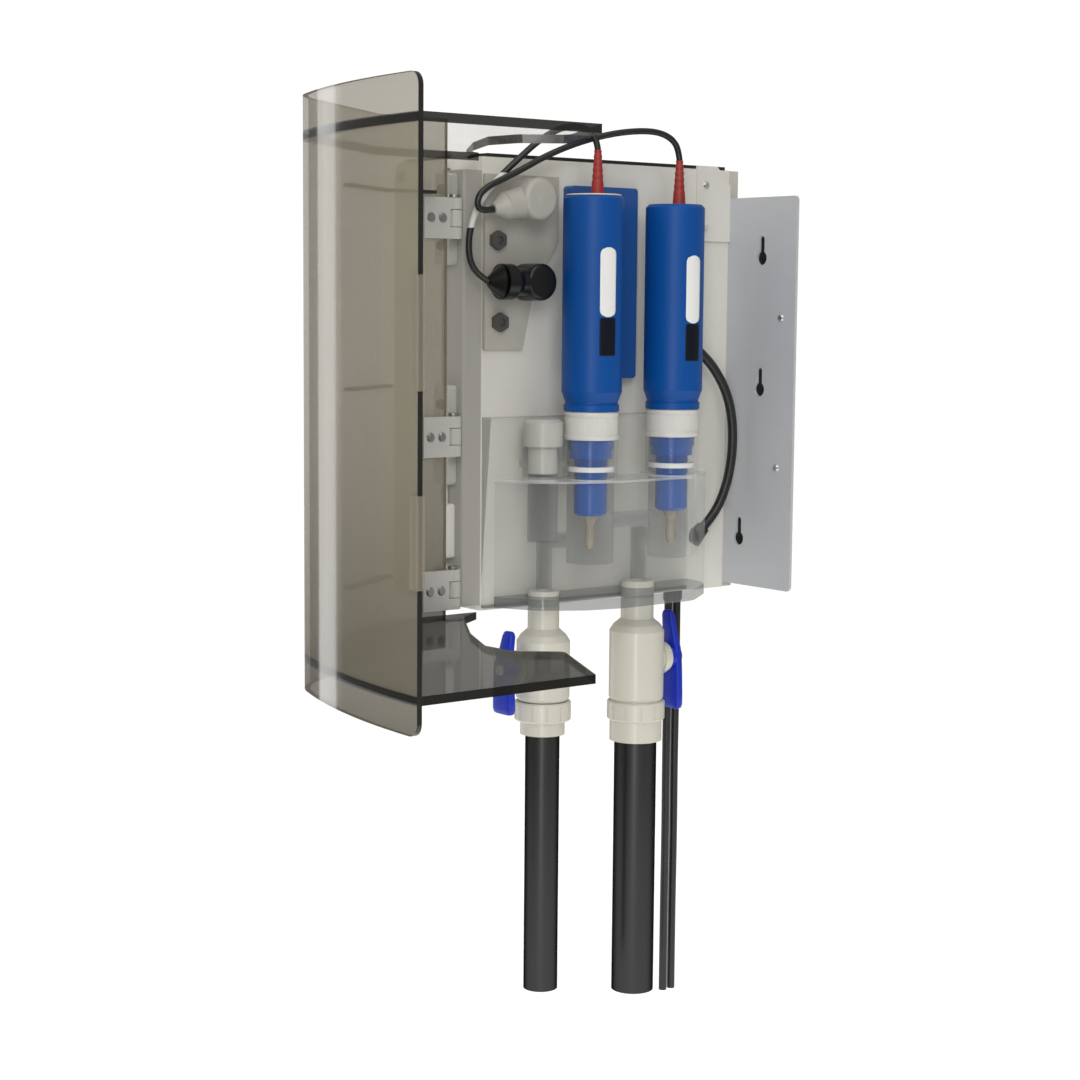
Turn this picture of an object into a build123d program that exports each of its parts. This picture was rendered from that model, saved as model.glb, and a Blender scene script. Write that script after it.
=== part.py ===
from build123d import *
import os

# Wall-hung water analysis station: an electronics housing with a sensor compartment on its
# right side, closed by a smoked cover that swings on a vertical hinge at the front.
#
# Everything is drawn from one corner: X runs right along the wall from the carrier plate's
# outer face, Y runs into the wall from the wall's face, and Z runs up from the wall flange's
# lower edge. The room is on the -Y side. At export the parts move so that the origin lies
# on the wall face, midway between the two upper keyholes. The cover is drawn open, square
# to the wall.

# ---- driving dimensions, in millimetres ----
FLANGE_WIDTH = 65.5          # wall flange, out from the carrier plate
FLANGE_HEIGHT = 260.0
SHEET_T = 2.0                # carrier plate and flange metal
GASKET_T = 8.0               # foam strip between flange and wall
GASKET_INSET = 12.0          # the foam stays behind the flange's free edges
KEYHOLES = ((33.0, 220.0), (33.0, 133.0), (15.5, 31.5))   # keyhole bulb centres, x and z
KEYHOLE_BULB_R = 4.75
KEYHOLE_SLOT_R = 2.6
KEYHOLE_RISE = 12.0          # bulb centre to slot centre
FLANGE_RIVETS = ((52.6, 180.6), (50.8, 81.5))             # x and z
RIVET_R = 2.4
RIVET_T = 1.2
DOUBLER_T = 1.5              # stiffening tab at the plate's upper rear corner
DOUBLER_DEPTH = 30.0

HOUSING_WIDTH = 96.0
HOUSING_DEPTH = 216.0
HOUSING_BOTTOM = -3.5
HOUSING_TOP = 278.5
HOUSING_WALL = 3.0
HOUSING_CORNER_R = 6.0
SEAL_T = 2.2                 # dark seal along the housing's top
BOARD = (100.0, 160.0)       # circuit board depth and height
STANDOFF = 8.0
RAIL_T = 6.0
PILLAR_WIDTH = 24.0          # moulded post that carries the hinges
PILLAR_DEPTH = 14.0
BLOCK_T = 6.0                # hinge blocks on the post
PIN_R = 2.5
KNUCKLE_WALL = 2.5
KNUCKLE_FIXED = 10.0         # length of the fixed knuckle
KNUCKLE_MOVING = 7.0         # length of each cover knuckle beside it
KNUCKLE_GAP = 0.4
PIN_RUNNING = 0.05           # radial clearance in the cover knuckles
STRAP_T = 2.5

COVER_SHEET_T = 3.0
COVER_PLATE_T = 4.8
COVER_OVERHANG = 21.0        # sheet beyond the housing, above and below
COVER_FLAT = 43.5            # flat hinge side, from its edge to the fold
COVER_FOLD = (18.0, 35.0)    # inner radius and turn of the fold
COVER_FACET = 90.0
COVER_CORNER = (50.0, 36.0)
COVER_FRONT = (430.0, 19.0)
COVER_EDGE_R = 7.0
CUTOUT = ((222.0, 66.0), (154.0, 33.0), (137.0, 55.0), (112.0, 57.0), (71.0, 37.5),
          (15.0, 2.0), (2.0, -17.0))     # x, and distance in front of the hinge line
CUTOUT_R = 5.0
RIB_WIDTH = 6.0
RIB_T = 2.0
STRIP_SPANS = ((49.0, 95.5), (146.5, 202.5))

PANEL_T = 3.0                # connector panel on the carrier plate
MODULE_T = 8.0               # preamplifier behind the left probe
MODULE_Y = (-152.0, -97.0)
MODULE_BOTTOM = 141.0
PROBE_R = 19.0
PROBE_GAP = 3.0              # between a probe and the preamplifier
PROBE_PLACES = ((-151.7, 256.0), (-84.0, 252.5))          # axis y and top of each probe
STEM_R = 14.5
NUT_WALL = 2.5
FOOT_Z = (122.0, 129.0)      # narrow foot of the probe, on its nut
NUT_BOTTOM = 104.0
TIP_R = 10.4
TIP_BOTTOM = 56.0
BULB_BOTTOM = 34.0
BOOT_HEIGHT = 28.0
BOOT_R = (4.2, 2.4)
BOOT_OFFSET = 3.0            # boots sit behind the probe's axis, towards the wall
LEAD_R = 2.0
SWITCH_LEAD_R = 3.2

CELL_BOTTOM = -2.0
CELL_TOP = 79.0
CELL_EDGE_R = 16.0
CELL_BACK_T = 3.0
WELL_GAP = 0.5               # between a stem and its well
WELL_BOTTOM = 26.0
NECK_WALL = 2.2
CHANNEL_R = 5.0
PORT_X = 18.5
PORT_R = 12.5
PORT_TOP = 117.0
SEAL_Z = (84.0, 87.0)        # sealing rings in the wells

BALL_R = 12.0
BALL_BORE_R = 7.0
BALL_SPACE = 1.2             # around the ball in its chamber
BODY_WALL = 3.8
COLLAR_WALL = 3.2            # tail piece around its pipe
PIPE_WALL = 1.5
SPIGOT_STEP = 0.2            # the pipe's step down inside its tail piece
SOCKET_FLOOR = 5.0           # tail piece left above the pipe's end
SEAT_T = 2.8
SEAT_SPACE = 1.5
STEM_PIN_R = 3.5
LEVER_T = 4.5
VALVE_SHOULDER = (-24.0, -16.0)
STUB_R = (10.0, 10.8)        # inlet and outlet stubs in the flow cell
FIT = 0.1                    # general clearance between pieces that slide together

ELBOW = (-58.0, 170.0)       # flow switch elbow on the carrier plate, y and z
CABLE_R = 2.75
CABLE_BOTTOM = -285.0
CABLE_PLACE = (-14.0, -42.5) # midway between the two cables
GLAND_WALL = 0.85
GLAND_DEPTH = 8.0
SCREW_R = 1.6
SCREW_HEAD_R = 3.4

# ---- sizes that follow ----
flange_front = -GASKET_T - SHEET_T
side_x = -SHEET_T            # the housing's right wall starts behind the carrier plate
housing_front = -HOUSING_DEPTH
pillar_front = housing_front - PILLAR_DEPTH
pillar_z = (HOUSING_BOTTOM + 3.5, HOUSING_TOP - 8.5)

# The hinge line runs just in front of the hinge blocks, on the carrier plate's outer face.
KNUCKLE_R = PIN_R + KNUCKLE_WALL
hinge_y = pillar_front - BLOCK_T - 1.0
hinge_middle = 107.0
hinge_levels = (pillar_z[0] + 12.0, hinge_middle, pillar_z[1] - 30.0)
block_spans = ((pillar_z[0], pillar_z[0] + 26.0), (hinge_middle - 31.0, hinge_middle + 31.0),
               (pillar_z[1] - 58.0, pillar_z[1] - 2.0))

cover_z = (HOUSING_BOTTOM - COVER_OVERHANG, HOUSING_TOP + COVER_OVERHANG)
plate_levels = (cover_z[0] + 16.0, cover_z[1] - 24.0)
cover_side_x = 2.0           # inner face of the hinge side while open
cover_start_y = hinge_y - 6.5
cover_fold_y = cover_start_y - COVER_FLAT
ribs_at = ((plate_levels[0] + 32.5, cover_fold_y), (139.0, cover_fold_y),
           (plate_levels[1] - 20.5, cover_start_y - 12.0))

panel_bottom = HOUSING_TOP - 118.5
probe_x = MODULE_T + PROBE_GAP + PROBE_R
probes_at = [(probe_x, y, top) for y, top in PROBE_PLACES]
nut_r = STEM_R + NUT_WALL
foot_r = nut_r + 0.5
well_r = STEM_R + WELL_GAP
port_y = PROBE_PLACES[0][0] - nut_r - PORT_R + 0.2
cell_outline = ((CELL_BACK_T, -45.0), (probe_x - 5, -48.0), (probe_x + 19, -80.0),
                (probe_x + 21, -140.0), (probe_x + 16, port_y + 15), (probe_x + 1, port_y - 11),
                (CELL_BACK_T, port_y - 26))

chamber_r = BALL_R + BALL_SPACE
valve_x = CELL_BACK_T + STUB_R[1] + 2 * FIT
stem_root = BALL_R - 1.6     # distances from a valve's axis, along its stem
bonnet_end = BALL_R + 11.5
stem_end = BALL_R + 19.0
lever_far = BALL_R + 22.0
gland_r = CABLE_R + GLAND_WALL
cable_step = gland_r + FIT
cables_at = [(CABLE_PLACE[0], CABLE_PLACE[1] + side * cable_step) for side in (-1, 1)]

# Each valve: axis y, side its handle is on, stub, body and pipe sizes.
VALVES = {
    "inlet": dict(y=port_y + 5, side=-1, stub_r=STUB_R[0], stub_top=8.0, body_bottom=-62.0,
                  ball_z=-40.0, tail=22.0, pipe_r=11.0, pipe_bottom=-251.0,
                  lever=(24.0, 28.0)),
    "outlet": dict(y=PROBE_PLACES[1][0] - 14, side=1, stub_r=STUB_R[1], stub_top=9.0,
                   body_bottom=-70.0, ball_z=-44.0, tail=27.0, pipe_r=14.0,
                   pipe_bottom=-266.5, lever=(31.0, 35.0)),
}
nodes = {}


# ---- small shape makers ----
def block(x, y, z):
    """A box between two values on each axis."""
    size = (x[1] - x[0], y[1] - y[0], z[1] - z[0])
    return Pos((x[0] + x[1]) / 2, (y[0] + y[1]) / 2, (z[0] + z[1]) / 2) * Box(*size)


def rod(start, end, r_start, r_end=None):
    """A round bar, or a cone, between two points."""
    a = Vector(*start)
    b = Vector(*end)
    plane = Plane(origin=a, z_dir=b - a)
    r_end = r_start if r_end is None else r_end
    length = (b - a).length
    low = (Align.CENTER, Align.CENTER, Align.MIN)
    if r_end == r_start:
        return plane.location * Cylinder(r_start, length, align=low)
    return plane.location * Cone(r_start, r_end, length, align=low)


def post(x, y, z0, z1, r0, r1=None):
    """An upright round bar or cone."""
    return rod((x, y, z0), (x, y, z1), r0, r1)


def turned(profile, x, y):
    """A solid of revolution about the upright line at x, y, from (radius, z) points."""
    face = make_face(Polyline(*[(r, 0, z) for r, z in profile], close=True))
    return Pos(x, y, 0) * revolve(face, Axis.Z)


def screw(place, direction, length):
    """A round-head screw: its shank goes from place against direction, its head stands out."""
    d = Vector(*direction).normalized()
    p = Vector(*place)
    head = rod(p, p + d * 2.4, SCREW_HEAD_R, SCREW_HEAD_R - 0.6)
    head -= rod(p + d * 1.2, p + d * 3, 1.5)
    return head + rod(p - d * length, p, SCREW_R)


def route(points, radius):
    """A tube along straight runs joined by tangent arcs, each as large as its runs allow."""
    p = [Vector(*q) for q in points]
    radii = []
    for before, here, after in zip(p, p[1:], p[2:]):
        turn = (here - before).get_angle(after - here)
        shorter = min((here - before).length, (after - here).length)
        radii.append(0.45 * shorter / tan_half(turn))
    print("radii", [round(r, 1) for r in radii])
    path = FilletPolyline(*p, radius=radii)
    profile = Plane(origin=path @ 0, z_dir=path % 0) * Circle(radius)
    return sweep(profile, path), path.length


def tan_half(degrees):
    """The tangent of half an angle, from a unit triangle."""
    side = Vector(1, 0, 0).rotate(Axis.Z, degrees / 2)
    return side.Y / side.X


def keep(name, shape):
    """Store a finished piece under its node name."""
    nodes[name] = shape


# ---- wall bracket ----
def keyhole(x, z, grow=0.0):
    """One keyhole cutter: a round bulb with a narrow slot above it."""
    y = (flange_front - 1, 1)
    bulb = rod((x, y[0], z), (x, y[1], z), KEYHOLE_BULB_R + grow)
    slot_r = KEYHOLE_SLOT_R + grow
    slot = rod((x, y[0], z + KEYHOLE_RISE), (x, y[1], z + KEYHOLE_RISE), slot_r)
    neck = block((x - slot_r, x + slot_r), y, (z, z + KEYHOLE_RISE))
    return bulb + slot + neck


def wall_bracket():
    """Carrier plate, wall flange, its foam gasket, the doubler and the rivets."""
    plate = block((-SHEET_T, 0), (housing_front, flange_front), (HOUSING_BOTTOM, HOUSING_TOP))
    flange = block((-SHEET_T, FLANGE_WIDTH), (flange_front, -GASKET_T), (0, FLANGE_HEIGHT))
    corners = flange.edges().filter_by(Axis.Y).group_by(Axis.X)[-1]
    flange = fillet(corners, 3.0)
    gasket = block((0, FLANGE_WIDTH - GASKET_INSET), (-GASKET_T, 0),
                   (GASKET_INSET, FLANGE_HEIGHT - GASKET_INSET))
    for x, z in KEYHOLES:
        flange -= keyhole(x, z)
        gasket -= keyhole(x, z, 0.4)
    keep("carrier_plate", plate - panel_screw_holes() - elbow_hole())
    keep("wall_flange", flange)
    keep("wall_gasket", gasket)
    doubler_z = (HOUSING_TOP - 47.5, HOUSING_TOP + 2)
    doubler = block((0, DOUBLER_T), (flange_front - DOUBLER_DEPTH, flange_front), doubler_z)
    top_corner = doubler.edges().filter_by(Axis.X).group_by(Axis.Z)[-1].sort_by(Axis.Y)[-1]
    keep("bracket_doubler", chamfer(top_corner, 12.0))
    rivets = [rod((x, flange_front - RIVET_T, z), (x, flange_front, z), 1.8, RIVET_R)
              for x, z in FLANGE_RIVETS]
    y = flange_front - DOUBLER_DEPTH + 8
    rivets += [rod((DOUBLER_T, y, z), (DOUBLER_T + RIVET_T, y, z), RIVET_R, 1.8)
               for z in (doubler_z[0] + 9, doubler_z[1] - 12.5)]
    keep("bracket_rivets", Compound(rivets))


# ---- electronics housing ----
def housing():
    """A four-sided shell with a front panel, a rear plate, a dark top seal and a hinge post."""
    x = (-HOUSING_WIDTH, side_x)
    shell_y = (housing_front + HOUSING_WALL, -HOUSING_WALL)
    z = (HOUSING_BOTTOM, HOUSING_TOP)
    shell = rounded_left(block(x, shell_y, z))
    inner = [(x[0] + HOUSING_WALL, x[1] - HOUSING_WALL), (shell_y[0] - 1, shell_y[1] + 1),
             (z[0] + HOUSING_WALL, z[1] - HOUSING_WALL)]
    shell -= block(*inner)
    for cx, cy in cables_at:
        shell -= post(cx, cy, z[0] - 1, z[0] + HOUSING_WALL + 1, CABLE_R + FIT)
    keep("housing_shell", shell)
    front = rounded_left(block(x, (housing_front, shell_y[0]), z))
    inset = 9.0
    for cx, cz in front_screws(x, z, inset):
        front -= rod((cx, housing_front - 1, cz), (cx, shell_y[0] + 1, cz), SCREW_R)
    keep("housing_front_panel", front)
    keep("housing_rear_plate", rounded_left(block(x, (shell_y[1], 0), z)))
    screws = [screw((cx, housing_front, cz), (0, -1, 0), HOUSING_WALL)
              for cx, cz in front_screws(x, z, inset)]
    screws += [screw((cx, pillar_front - BLOCK_T, cz), (0, -1, 0), BLOCK_T + 6)
               for cx, cz in block_screws()]
    keep("case_screws", Compound(screws + panel_screws()))
    keep("housing_top_seal", block((x[0] + 6, 0), (housing_front + 4, flange_front - 4),
                                   (HOUSING_TOP, HOUSING_TOP + SEAL_T)))
    pillar = block((-PILLAR_WIDTH, 0), (pillar_front, housing_front), pillar_z)
    pillar = fillet(pillar.edges().filter_by(Axis.Z).group_by(Axis.Y)[0], 2.0)
    for cx, cz in block_screws():
        pillar -= rod((cx, pillar_front - 1, cz), (cx, pillar_front + 8, cz), SCREW_R)
    keep("hinge_post", pillar)


def rounded_left(box):
    """The box with its two left-hand long edges rounded."""
    return fillet(box.edges().filter_by(Axis.Y).group_by(Axis.X)[0], HOUSING_CORNER_R)


def front_screws(x, z, inset):
    """Centres of the four front panel screws, x and z, clear of the hinge post."""
    columns = (x[0] + inset, x[1] - PILLAR_WIDTH - 10)
    return [(cx, cz) for cx in columns for cz in (z[0] + inset, z[1] - inset)]


def internals():
    """Circuit board on standoffs, power supply, terminal block and mounting rail."""
    back_x = -HOUSING_WIDTH + HOUSING_WALL
    board_x = (back_x + STANDOFF, back_x + STANDOFF + 1.6)
    board_y = (housing_front + 26, housing_front + 26 + BOARD[0])
    board_z = (HOUSING_TOP - 48.5 - BOARD[1], HOUSING_TOP - 48.5)
    board = block(board_x, board_y, board_z)
    posts = [rod((back_x, y, z), (board_x[0], y, z), 3.0)
             for y in (board_y[0] + 6, board_y[1] - 6) for z in (board_z[0] + 6, board_z[1] - 6)]
    chips = [block((board_x[1], board_x[1] + 6), (board_y[0] + y, board_y[0] + y + 24),
                   (board_z[0] + z, board_z[0] + z + 30))
             for y, z in ((10, 15), (50, 15), (10, 80), (55, 95))]
    keep("circuit_board", Compound([board] + chips))
    rail_x = (back_x, back_x + RAIL_T)
    rail = block(rail_x, (-78, -43), (HOUSING_BOTTOM + 23.5, HOUSING_TOP - 18.5))
    keep("housing_inner_mounts", Compound([rail] + posts))
    keep("power_supply", block((rail_x[1], rail_x[1] + 50), (-80, -30), (120, 210)))
    keep("terminal_block", block((rail_x[1], rail_x[1] + 30), (-78, -42), (40, 100)))


# ---- sensor wiring on the carrier plate ----
def panel_screws_at():
    """Centres of the two connector panel screws, y and z."""
    return ((housing_front + 9, HOUSING_TOP - 51), (housing_front + 11, HOUSING_TOP - 101.5))


def panel_screw_holes():
    """Cutters for the connector panel screws through the panel and carrier plate."""
    holes = [rod((-SHEET_T - 1, y, z), (6, y, z), SCREW_R) for y, z in panel_screws_at()]
    return holes[0] + holes[1]


def elbow_hole():
    """Cutter for the flow switch lead's elbow through the carrier plate."""
    y, z = ELBOW
    return rod((-SHEET_T - 1, y, z), (1, y, z), 4.0)


def panel_screws():
    """Two hexagon socket screws that hold the connector panel on the carrier plate."""
    t = PANEL_T
    screws = []
    for y, z in panel_screws_at():
        hexagon = Plane(origin=(t, y, z), z_dir=(1, 0, 0)) * RegularPolygon(6.0, 6)
        head = extrude(hexagon, 4.0) - rod((t + 2.5, y, z), (t + 5, y, z), 2.6)
        screws.append(head + rod((-SHEET_T, y, z), (t, y, z), SCREW_R))
    return screws


def connector_panel():
    """Grey trapezoid panel, two elbow plugs on it and the preamplifier module beside it."""
    t = PANEL_T
    f = housing_front
    top = HOUSING_TOP
    outline = Polyline((0, f + 0.5, panel_bottom), (0, f + 30, panel_bottom),
                       (0, f + 38, top - 82.5), (0, f + 58, top - 50.5),
                       (0, f + 58, top - 10.5), (0, f + 0.5, top - 10.5), close=True)
    panel = extrude(make_face(outline), t, dir=(1, 0, 0))
    keep("connector_panel", panel - panel_screw_holes())
    y = f + 29
    z = top - 25.5
    white = rod((t, y, z), (t + 21, y, z), 13.0)
    white = fillet(white.edges().group_by(Axis.X)[-1], 3.5)
    white += rod((14, y, z - 0.5), (13.5, y - 22, z - 5), 10.5, 8.5)
    white += rod((13.5, y - 22, z - 5), LEAD_B[-1], 8.5, 3.4)
    keep("white_elbow_plug", white)
    y = f + 31
    z = top - 76.5
    black = rod((t, y, z), (t + 20, y, z), 11.5)
    black = fillet(black.edges().group_by(Axis.X)[-1], 3.0)
    black += rod((14.5, y, z), (14.5, y - 14, z), 8.5)
    black += rod((14.5, y - 14, z), (14.5, y - 19, z), 8.5, 11.0)
    black += rod((14.5, y - 19, z), (14.5, y - 27, z), 11.0)
    black += rod((14.5, y - 27, z), LEAD_A[-1], 11.0, 3.4)
    keep("black_elbow_plug", black)
    module = block((0, MODULE_T), MODULE_Y, (MODULE_BOTTOM, HOUSING_TOP - 15.5))
    keep("preamplifier_module", fillet(module.edges().filter_by(Axis.X), 2.5))


LEAD_A = ((30.0, -148.7, 284.0), (29.6, -149.8, 291.0), (28.0, -154.0, 296.0),
          (25.0, -161.0, 298.5), (20.5, -171.5, 297.0), (15.5, -184.0, 289.0),
          (12.0, -195.5, 278.5), (9.5, -207.0, 268.0), (7.5, -217.5, 257.0),
          (6.5, -225.5, 245.0), (6.2, -229.6, 233.0), (6.2, -230.6, 222.0),
          (7.2, -229.6, 213.0), (9.4, -225.8, 206.2), (12.5, -219.8, 202.0))
LEAD_B = ((30.0, -81.0, 280.5), (30.0, -82.2, 287.5), (30.0, -86.5, 293.0),
          (30.2, -93.5, 296.2), (30.4, -103.0, 297.8), (30.0, -117.0, 297.5),
          (26.5, -135.0, 295.0), (21.5, -157.0, 289.0), (17.0, -179.0, 280.0),
          (15.0, -197.0, 270.5), (14.0, -210.0, 264.5), (13.6, -220.5, 260.0),
          (13.4, -228.0, 254.5), (13.3, -229.5, 247.5), (13.3, -225.0, 244.5),
          (13.2, -217.0, 246.0))
LEAD_C = ((11.0, -38.5, 40.0), (11.8, -31.5, 46.5), (13.3, -25.5, 56.0),
          (15.0, -21.0, 69.0), (16.4, -18.6, 84.0), (17.0, -18.0, 100.0),
          (16.6, -19.2, 116.0), (15.4, -23.3, 131.0), (13.4, -30.5, 144.0),
          (11.6, -38.5, 153.5), (10.0, -47.0, 160.5))


def leads():
    """Two probe leads and the thicker flow switch lead, all held at both ends."""
    for name, points, r in (("probe_lead_a", LEAD_A, LEAD_R), ("probe_lead_b", LEAD_B, LEAD_R),
                            ("flow_switch_lead", LEAD_C, SWITCH_LEAD_R)):
        tube, length = route(points, r)
        share = tube.volume / (length * (Circle(r).area))
        print(name, "length", round(length, 1), "volume over section times length", share)
        keep(name, tube)
    y, z = ELBOW
    elbow = rod((0, y, z), (16, y, z), 9.0)
    elbow = fillet(elbow.edges().group_by(Axis.X)[-1], 2.5)
    elbow += rod((8.5, y, z - 2), LEAD_C[-1], 6.5, SWITCH_LEAD_R + 1.4)
    plug = rod((10.3, -47.0, 32.0), LEAD_C[0], 6.0, SWITCH_LEAD_R + 1.4) - nodes["flow_cell"]
    keep("flow_switch_fittings", Compound([elbow, plug]))
    glands = []
    for x, y in cables_at:
        gland = post(x, y, HOUSING_BOTTOM - GLAND_DEPTH, HOUSING_BOTTOM, gland_r)
        glands.append(gland - post(x, y, HOUSING_BOTTOM - 9, HOUSING_BOTTOM + 1, CABLE_R))
    keep("cable_glands", Compound(glands))
    for name, (x, y) in zip(("power_cable", "signal_cable"), cables_at):
        keep(name, post(x, y, CABLE_BOTTOM, HOUSING_BOTTOM + HOUSING_WALL, CABLE_R))


# ---- probes ----
def probe(tag, x, y, top):
    """A blue probe body and its stem, and the nut, glass bulb and red boot that go with it."""
    foot_bottom, foot_top = FOOT_Z
    stem_bottom = NUT_BOTTOM - 12
    seat_r = nut_r - 3.5
    body = turned([(0, foot_bottom), (foot_r, foot_bottom), (foot_r, foot_top - 3),
                   (foot_r - 0.8, foot_top - 2.4), (foot_r - 0.8, foot_top - 1.2),
                   (PROBE_R, foot_top + 5), (PROBE_R, top - 2), (PROBE_R - 2, top), (0, top)],
                  x, y)
    keep("probe_body_" + tag, body)
    stem = turned([(0, TIP_BOTTOM), (TIP_R - 1.5, TIP_BOTTOM), (TIP_R, TIP_BOTTOM + 1.5),
                   (TIP_R, 76), (TIP_R - 0.9, 76.6), (TIP_R - 0.9, 79.4), (TIP_R, 80),
                   (TIP_R, stem_bottom), (STEM_R - 1, stem_bottom),
                   (STEM_R - 1, stem_bottom + 6), (STEM_R, stem_bottom + 6),
                   (STEM_R, NUT_BOTTOM + 2), (seat_r - FIT, NUT_BOTTOM + 2),
                   (seat_r - FIT, foot_bottom), (0, foot_bottom)], x, y)
    keep("probe_stem_" + tag, stem)
    nut = turned([(seat_r, NUT_BOTTOM + 2), (STEM_R + FIT, NUT_BOTTOM + 2),
                  (STEM_R + FIT, NUT_BOTTOM), (nut_r + 0.4, NUT_BOTTOM),
                  (nut_r + 0.4, NUT_BOTTOM + 3), (nut_r, NUT_BOTTOM + 3.6),
                  (nut_r, foot_bottom - 1), (nut_r - 0.6, foot_bottom),
                  (seat_r, foot_bottom)], x, y)
    bulb = turned([(0, BULB_BOTTOM), (1.8, BULB_BOTTOM + 0.4), (3.0, BULB_BOTTOM + 2),
                   (3.4, BULB_BOTTOM + 5), (3.0, TIP_BOTTOM - 6), (5.6, TIP_BOTTOM),
                   (0, TIP_BOTTOM)], x, y)
    boot = post(x, y + BOOT_OFFSET, top, top + BOOT_HEIGHT, *BOOT_R)
    return nut, bulb, boot


def probes():
    """Both probes, with their nuts, bulbs and boots as groups."""
    sets = [probe(tag, *place) for tag, place in zip("ab", probes_at)]
    for name, group in zip(("probe_nuts", "probe_bulbs", "probe_boots"), zip(*sets)):
        keep(name, Compound(list(group)))


# ---- flow cell ----
def flow_cell():
    """Clear block with two probe wells, a spare port and drilled water channels."""
    outline = make_face(Polyline(*cell_outline, close=True))
    cell = Pos(0, 0, CELL_BOTTOM) * extrude(outline, CELL_TOP - CELL_BOTTOM)
    sides = cell.edges().filter_by(Axis.Z).sort_by(Axis.X)[2:]
    cell = fillet(sides, CELL_EDGE_R)
    for x, y, top in probes_at:
        cell += post(x, y, CELL_TOP - 1, NUT_BOTTOM, well_r + NECK_WALL)
    px = PORT_X
    py = port_y
    cell += post(px, py, CELL_TOP - 1, CELL_TOP + 21, PORT_R + 0.3)
    cell += post(px, py, CELL_TOP + 8, CELL_TOP + 12, PORT_R + 2.5)
    for x, y, top in probes_at:
        cell -= post(x, y, WELL_BOTTOM, NUT_BOTTOM + 1, well_r)
    plug_r = PORT_R - 3
    cell -= post(px, py, 40, CELL_TOP + 22, plug_r)
    for v in VALVES.values():
        cell -= post(valve_x, v["y"], CELL_BOTTOM - 1, v["stub_top"] + FIT, v["stub_r"] + FIT)
        cell -= post(valve_x, v["y"], v["stub_top"], 44, CHANNEL_R)
    (xa, ya, ta), (xb, yb, tb) = probes_at
    for start, end, z in (((valve_x, VALVES["inlet"]["y"]), (xa, ya), 40),
                          ((xa, ya), (xb, yb), 52),
                          ((xb, yb), (valve_x, VALVES["outlet"]["y"]), 38)):
        cell -= rod((*start, z), (*end, z), CHANNEL_R)
    keep("flow_cell", cell)
    back = block((0, CELL_BACK_T), (housing_front + 1, -45),
                 (HOUSING_BOTTOM + 1.5, panel_bottom - 42.0))
    keep("flow_cell_backplate", back)
    plug = turned([(0, CELL_TOP + 4), (plug_r, CELL_TOP + 4), (plug_r, CELL_TOP + 21),
                   (PORT_R, CELL_TOP + 21), (PORT_R, PORT_TOP - 2), (PORT_R - 2, PORT_TOP),
                   (0, PORT_TOP)], px, py)
    keep("spare_port_plug", plug)
    low, high = SEAL_Z
    rings = [turned([(TIP_R, low), (well_r, low), (well_r, high), (TIP_R, high)], x, y)
             for x, y, top in probes_at]
    keep("probe_seal_rings", Compound(rings))


# ---- ball valves and pipes ----
def lever_outline(v):
    """The handle seen along its stem: a leaf that widens towards its lower end."""
    up, down = v["lever"]
    z = v["ball_z"]
    x = valve_x
    points = [(x - 5.0, 0, z + up), (x + 5.0, 0, z + up), (x + 8.5, 0, z + 4),
              (x + 9.5, 0, z - down + 8), (x + 6.0, 0, z - down), (x - 6.0, 0, z - down),
              (x - 9.5, 0, z - down + 8), (x - 8.5, 0, z + 4)]
    return Polyline(*points, close=True)


def along(v, near, far, r0, r1=None):
    """A round bar on the valve's stem line, between two distances from the valve's axis."""
    a = (valve_x, v["y"] + v["side"] * near, v["ball_z"])
    b = (valve_x, v["y"] + v["side"] * far, v["ball_z"])
    return rod(a, b, r0, r1)


def valve_body(v, body_r):
    """The stub, shoulder and ball chamber of one valve, with the bonnet for its stem."""
    x, y, ball_z, bottom = valve_x, v["y"], v["ball_z"], v["body_bottom"]
    low, high = VALVE_SHOULDER
    roof = ball_z + BALL_R + SEAT_SPACE
    body = turned([(BALL_BORE_R, v["stub_top"]), (v["stub_r"], v["stub_top"]),
                   (v["stub_r"], high), (body_r - 2.5, high - 4), (body_r, low),
                   (body_r, bottom + 2), (body_r - 1, bottom), (chamber_r, bottom),
                   (chamber_r, roof), (BALL_BORE_R, roof)], x, y)
    bonnet = along(v, body_r - 3, bonnet_end, 10.0) + along(v, body_r - 1, bonnet_end - 3, 11.2)
    bonnet -= post(x, y, bottom, roof, chamber_r)
    return body + bonnet - along(v, 8, bonnet_end + 1, STEM_PIN_R + PIN_RUNNING)


def collar_radius(v):
    """The tail piece's outer radius: around its pipe, and wide enough to seat on the body."""
    return max(v["pipe_r"] + COLLAR_WALL, chamber_r + 1.0)


def valve_tail(v, body_r):
    """The tail piece that holds the pipe, and the union nut that clamps it to the body."""
    x, y, bottom = valve_x, v["y"], v["body_bottom"]
    r = v["pipe_r"] - SPIGOT_STEP + FIT
    collar_r = collar_radius(v)
    insert_top = v["ball_z"] - BALL_R - SEAT_SPACE
    socket = bottom - SOCKET_FLOOR
    end = bottom - v["tail"]
    tail = turned([(BALL_BORE_R, insert_top), (chamber_r - FIT, insert_top),
                   (chamber_r - FIT, bottom), (collar_r, bottom), (collar_r, end),
                   (r, end), (r, socket), (BALL_BORE_R, socket)], x, y)
    nut_outer = body_r + 1.0
    nut = post(x, y, bottom - 13, bottom - 0.5, nut_outer)
    nut = chamfer(nut.edges().filter_by(GeomType.CIRCLE), 0.8)
    for angle in range(0, 360, 30):
        spoke = Pos(x, y, bottom - 7) * Rot(0, 0, angle) * Pos(nut_outer, 0, 0)
        nut -= spoke * Box(1.0, 1.6, 9.0)
    return tail, nut - post(x, y, bottom - 14, bottom, collar_r + FIT)


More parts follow.
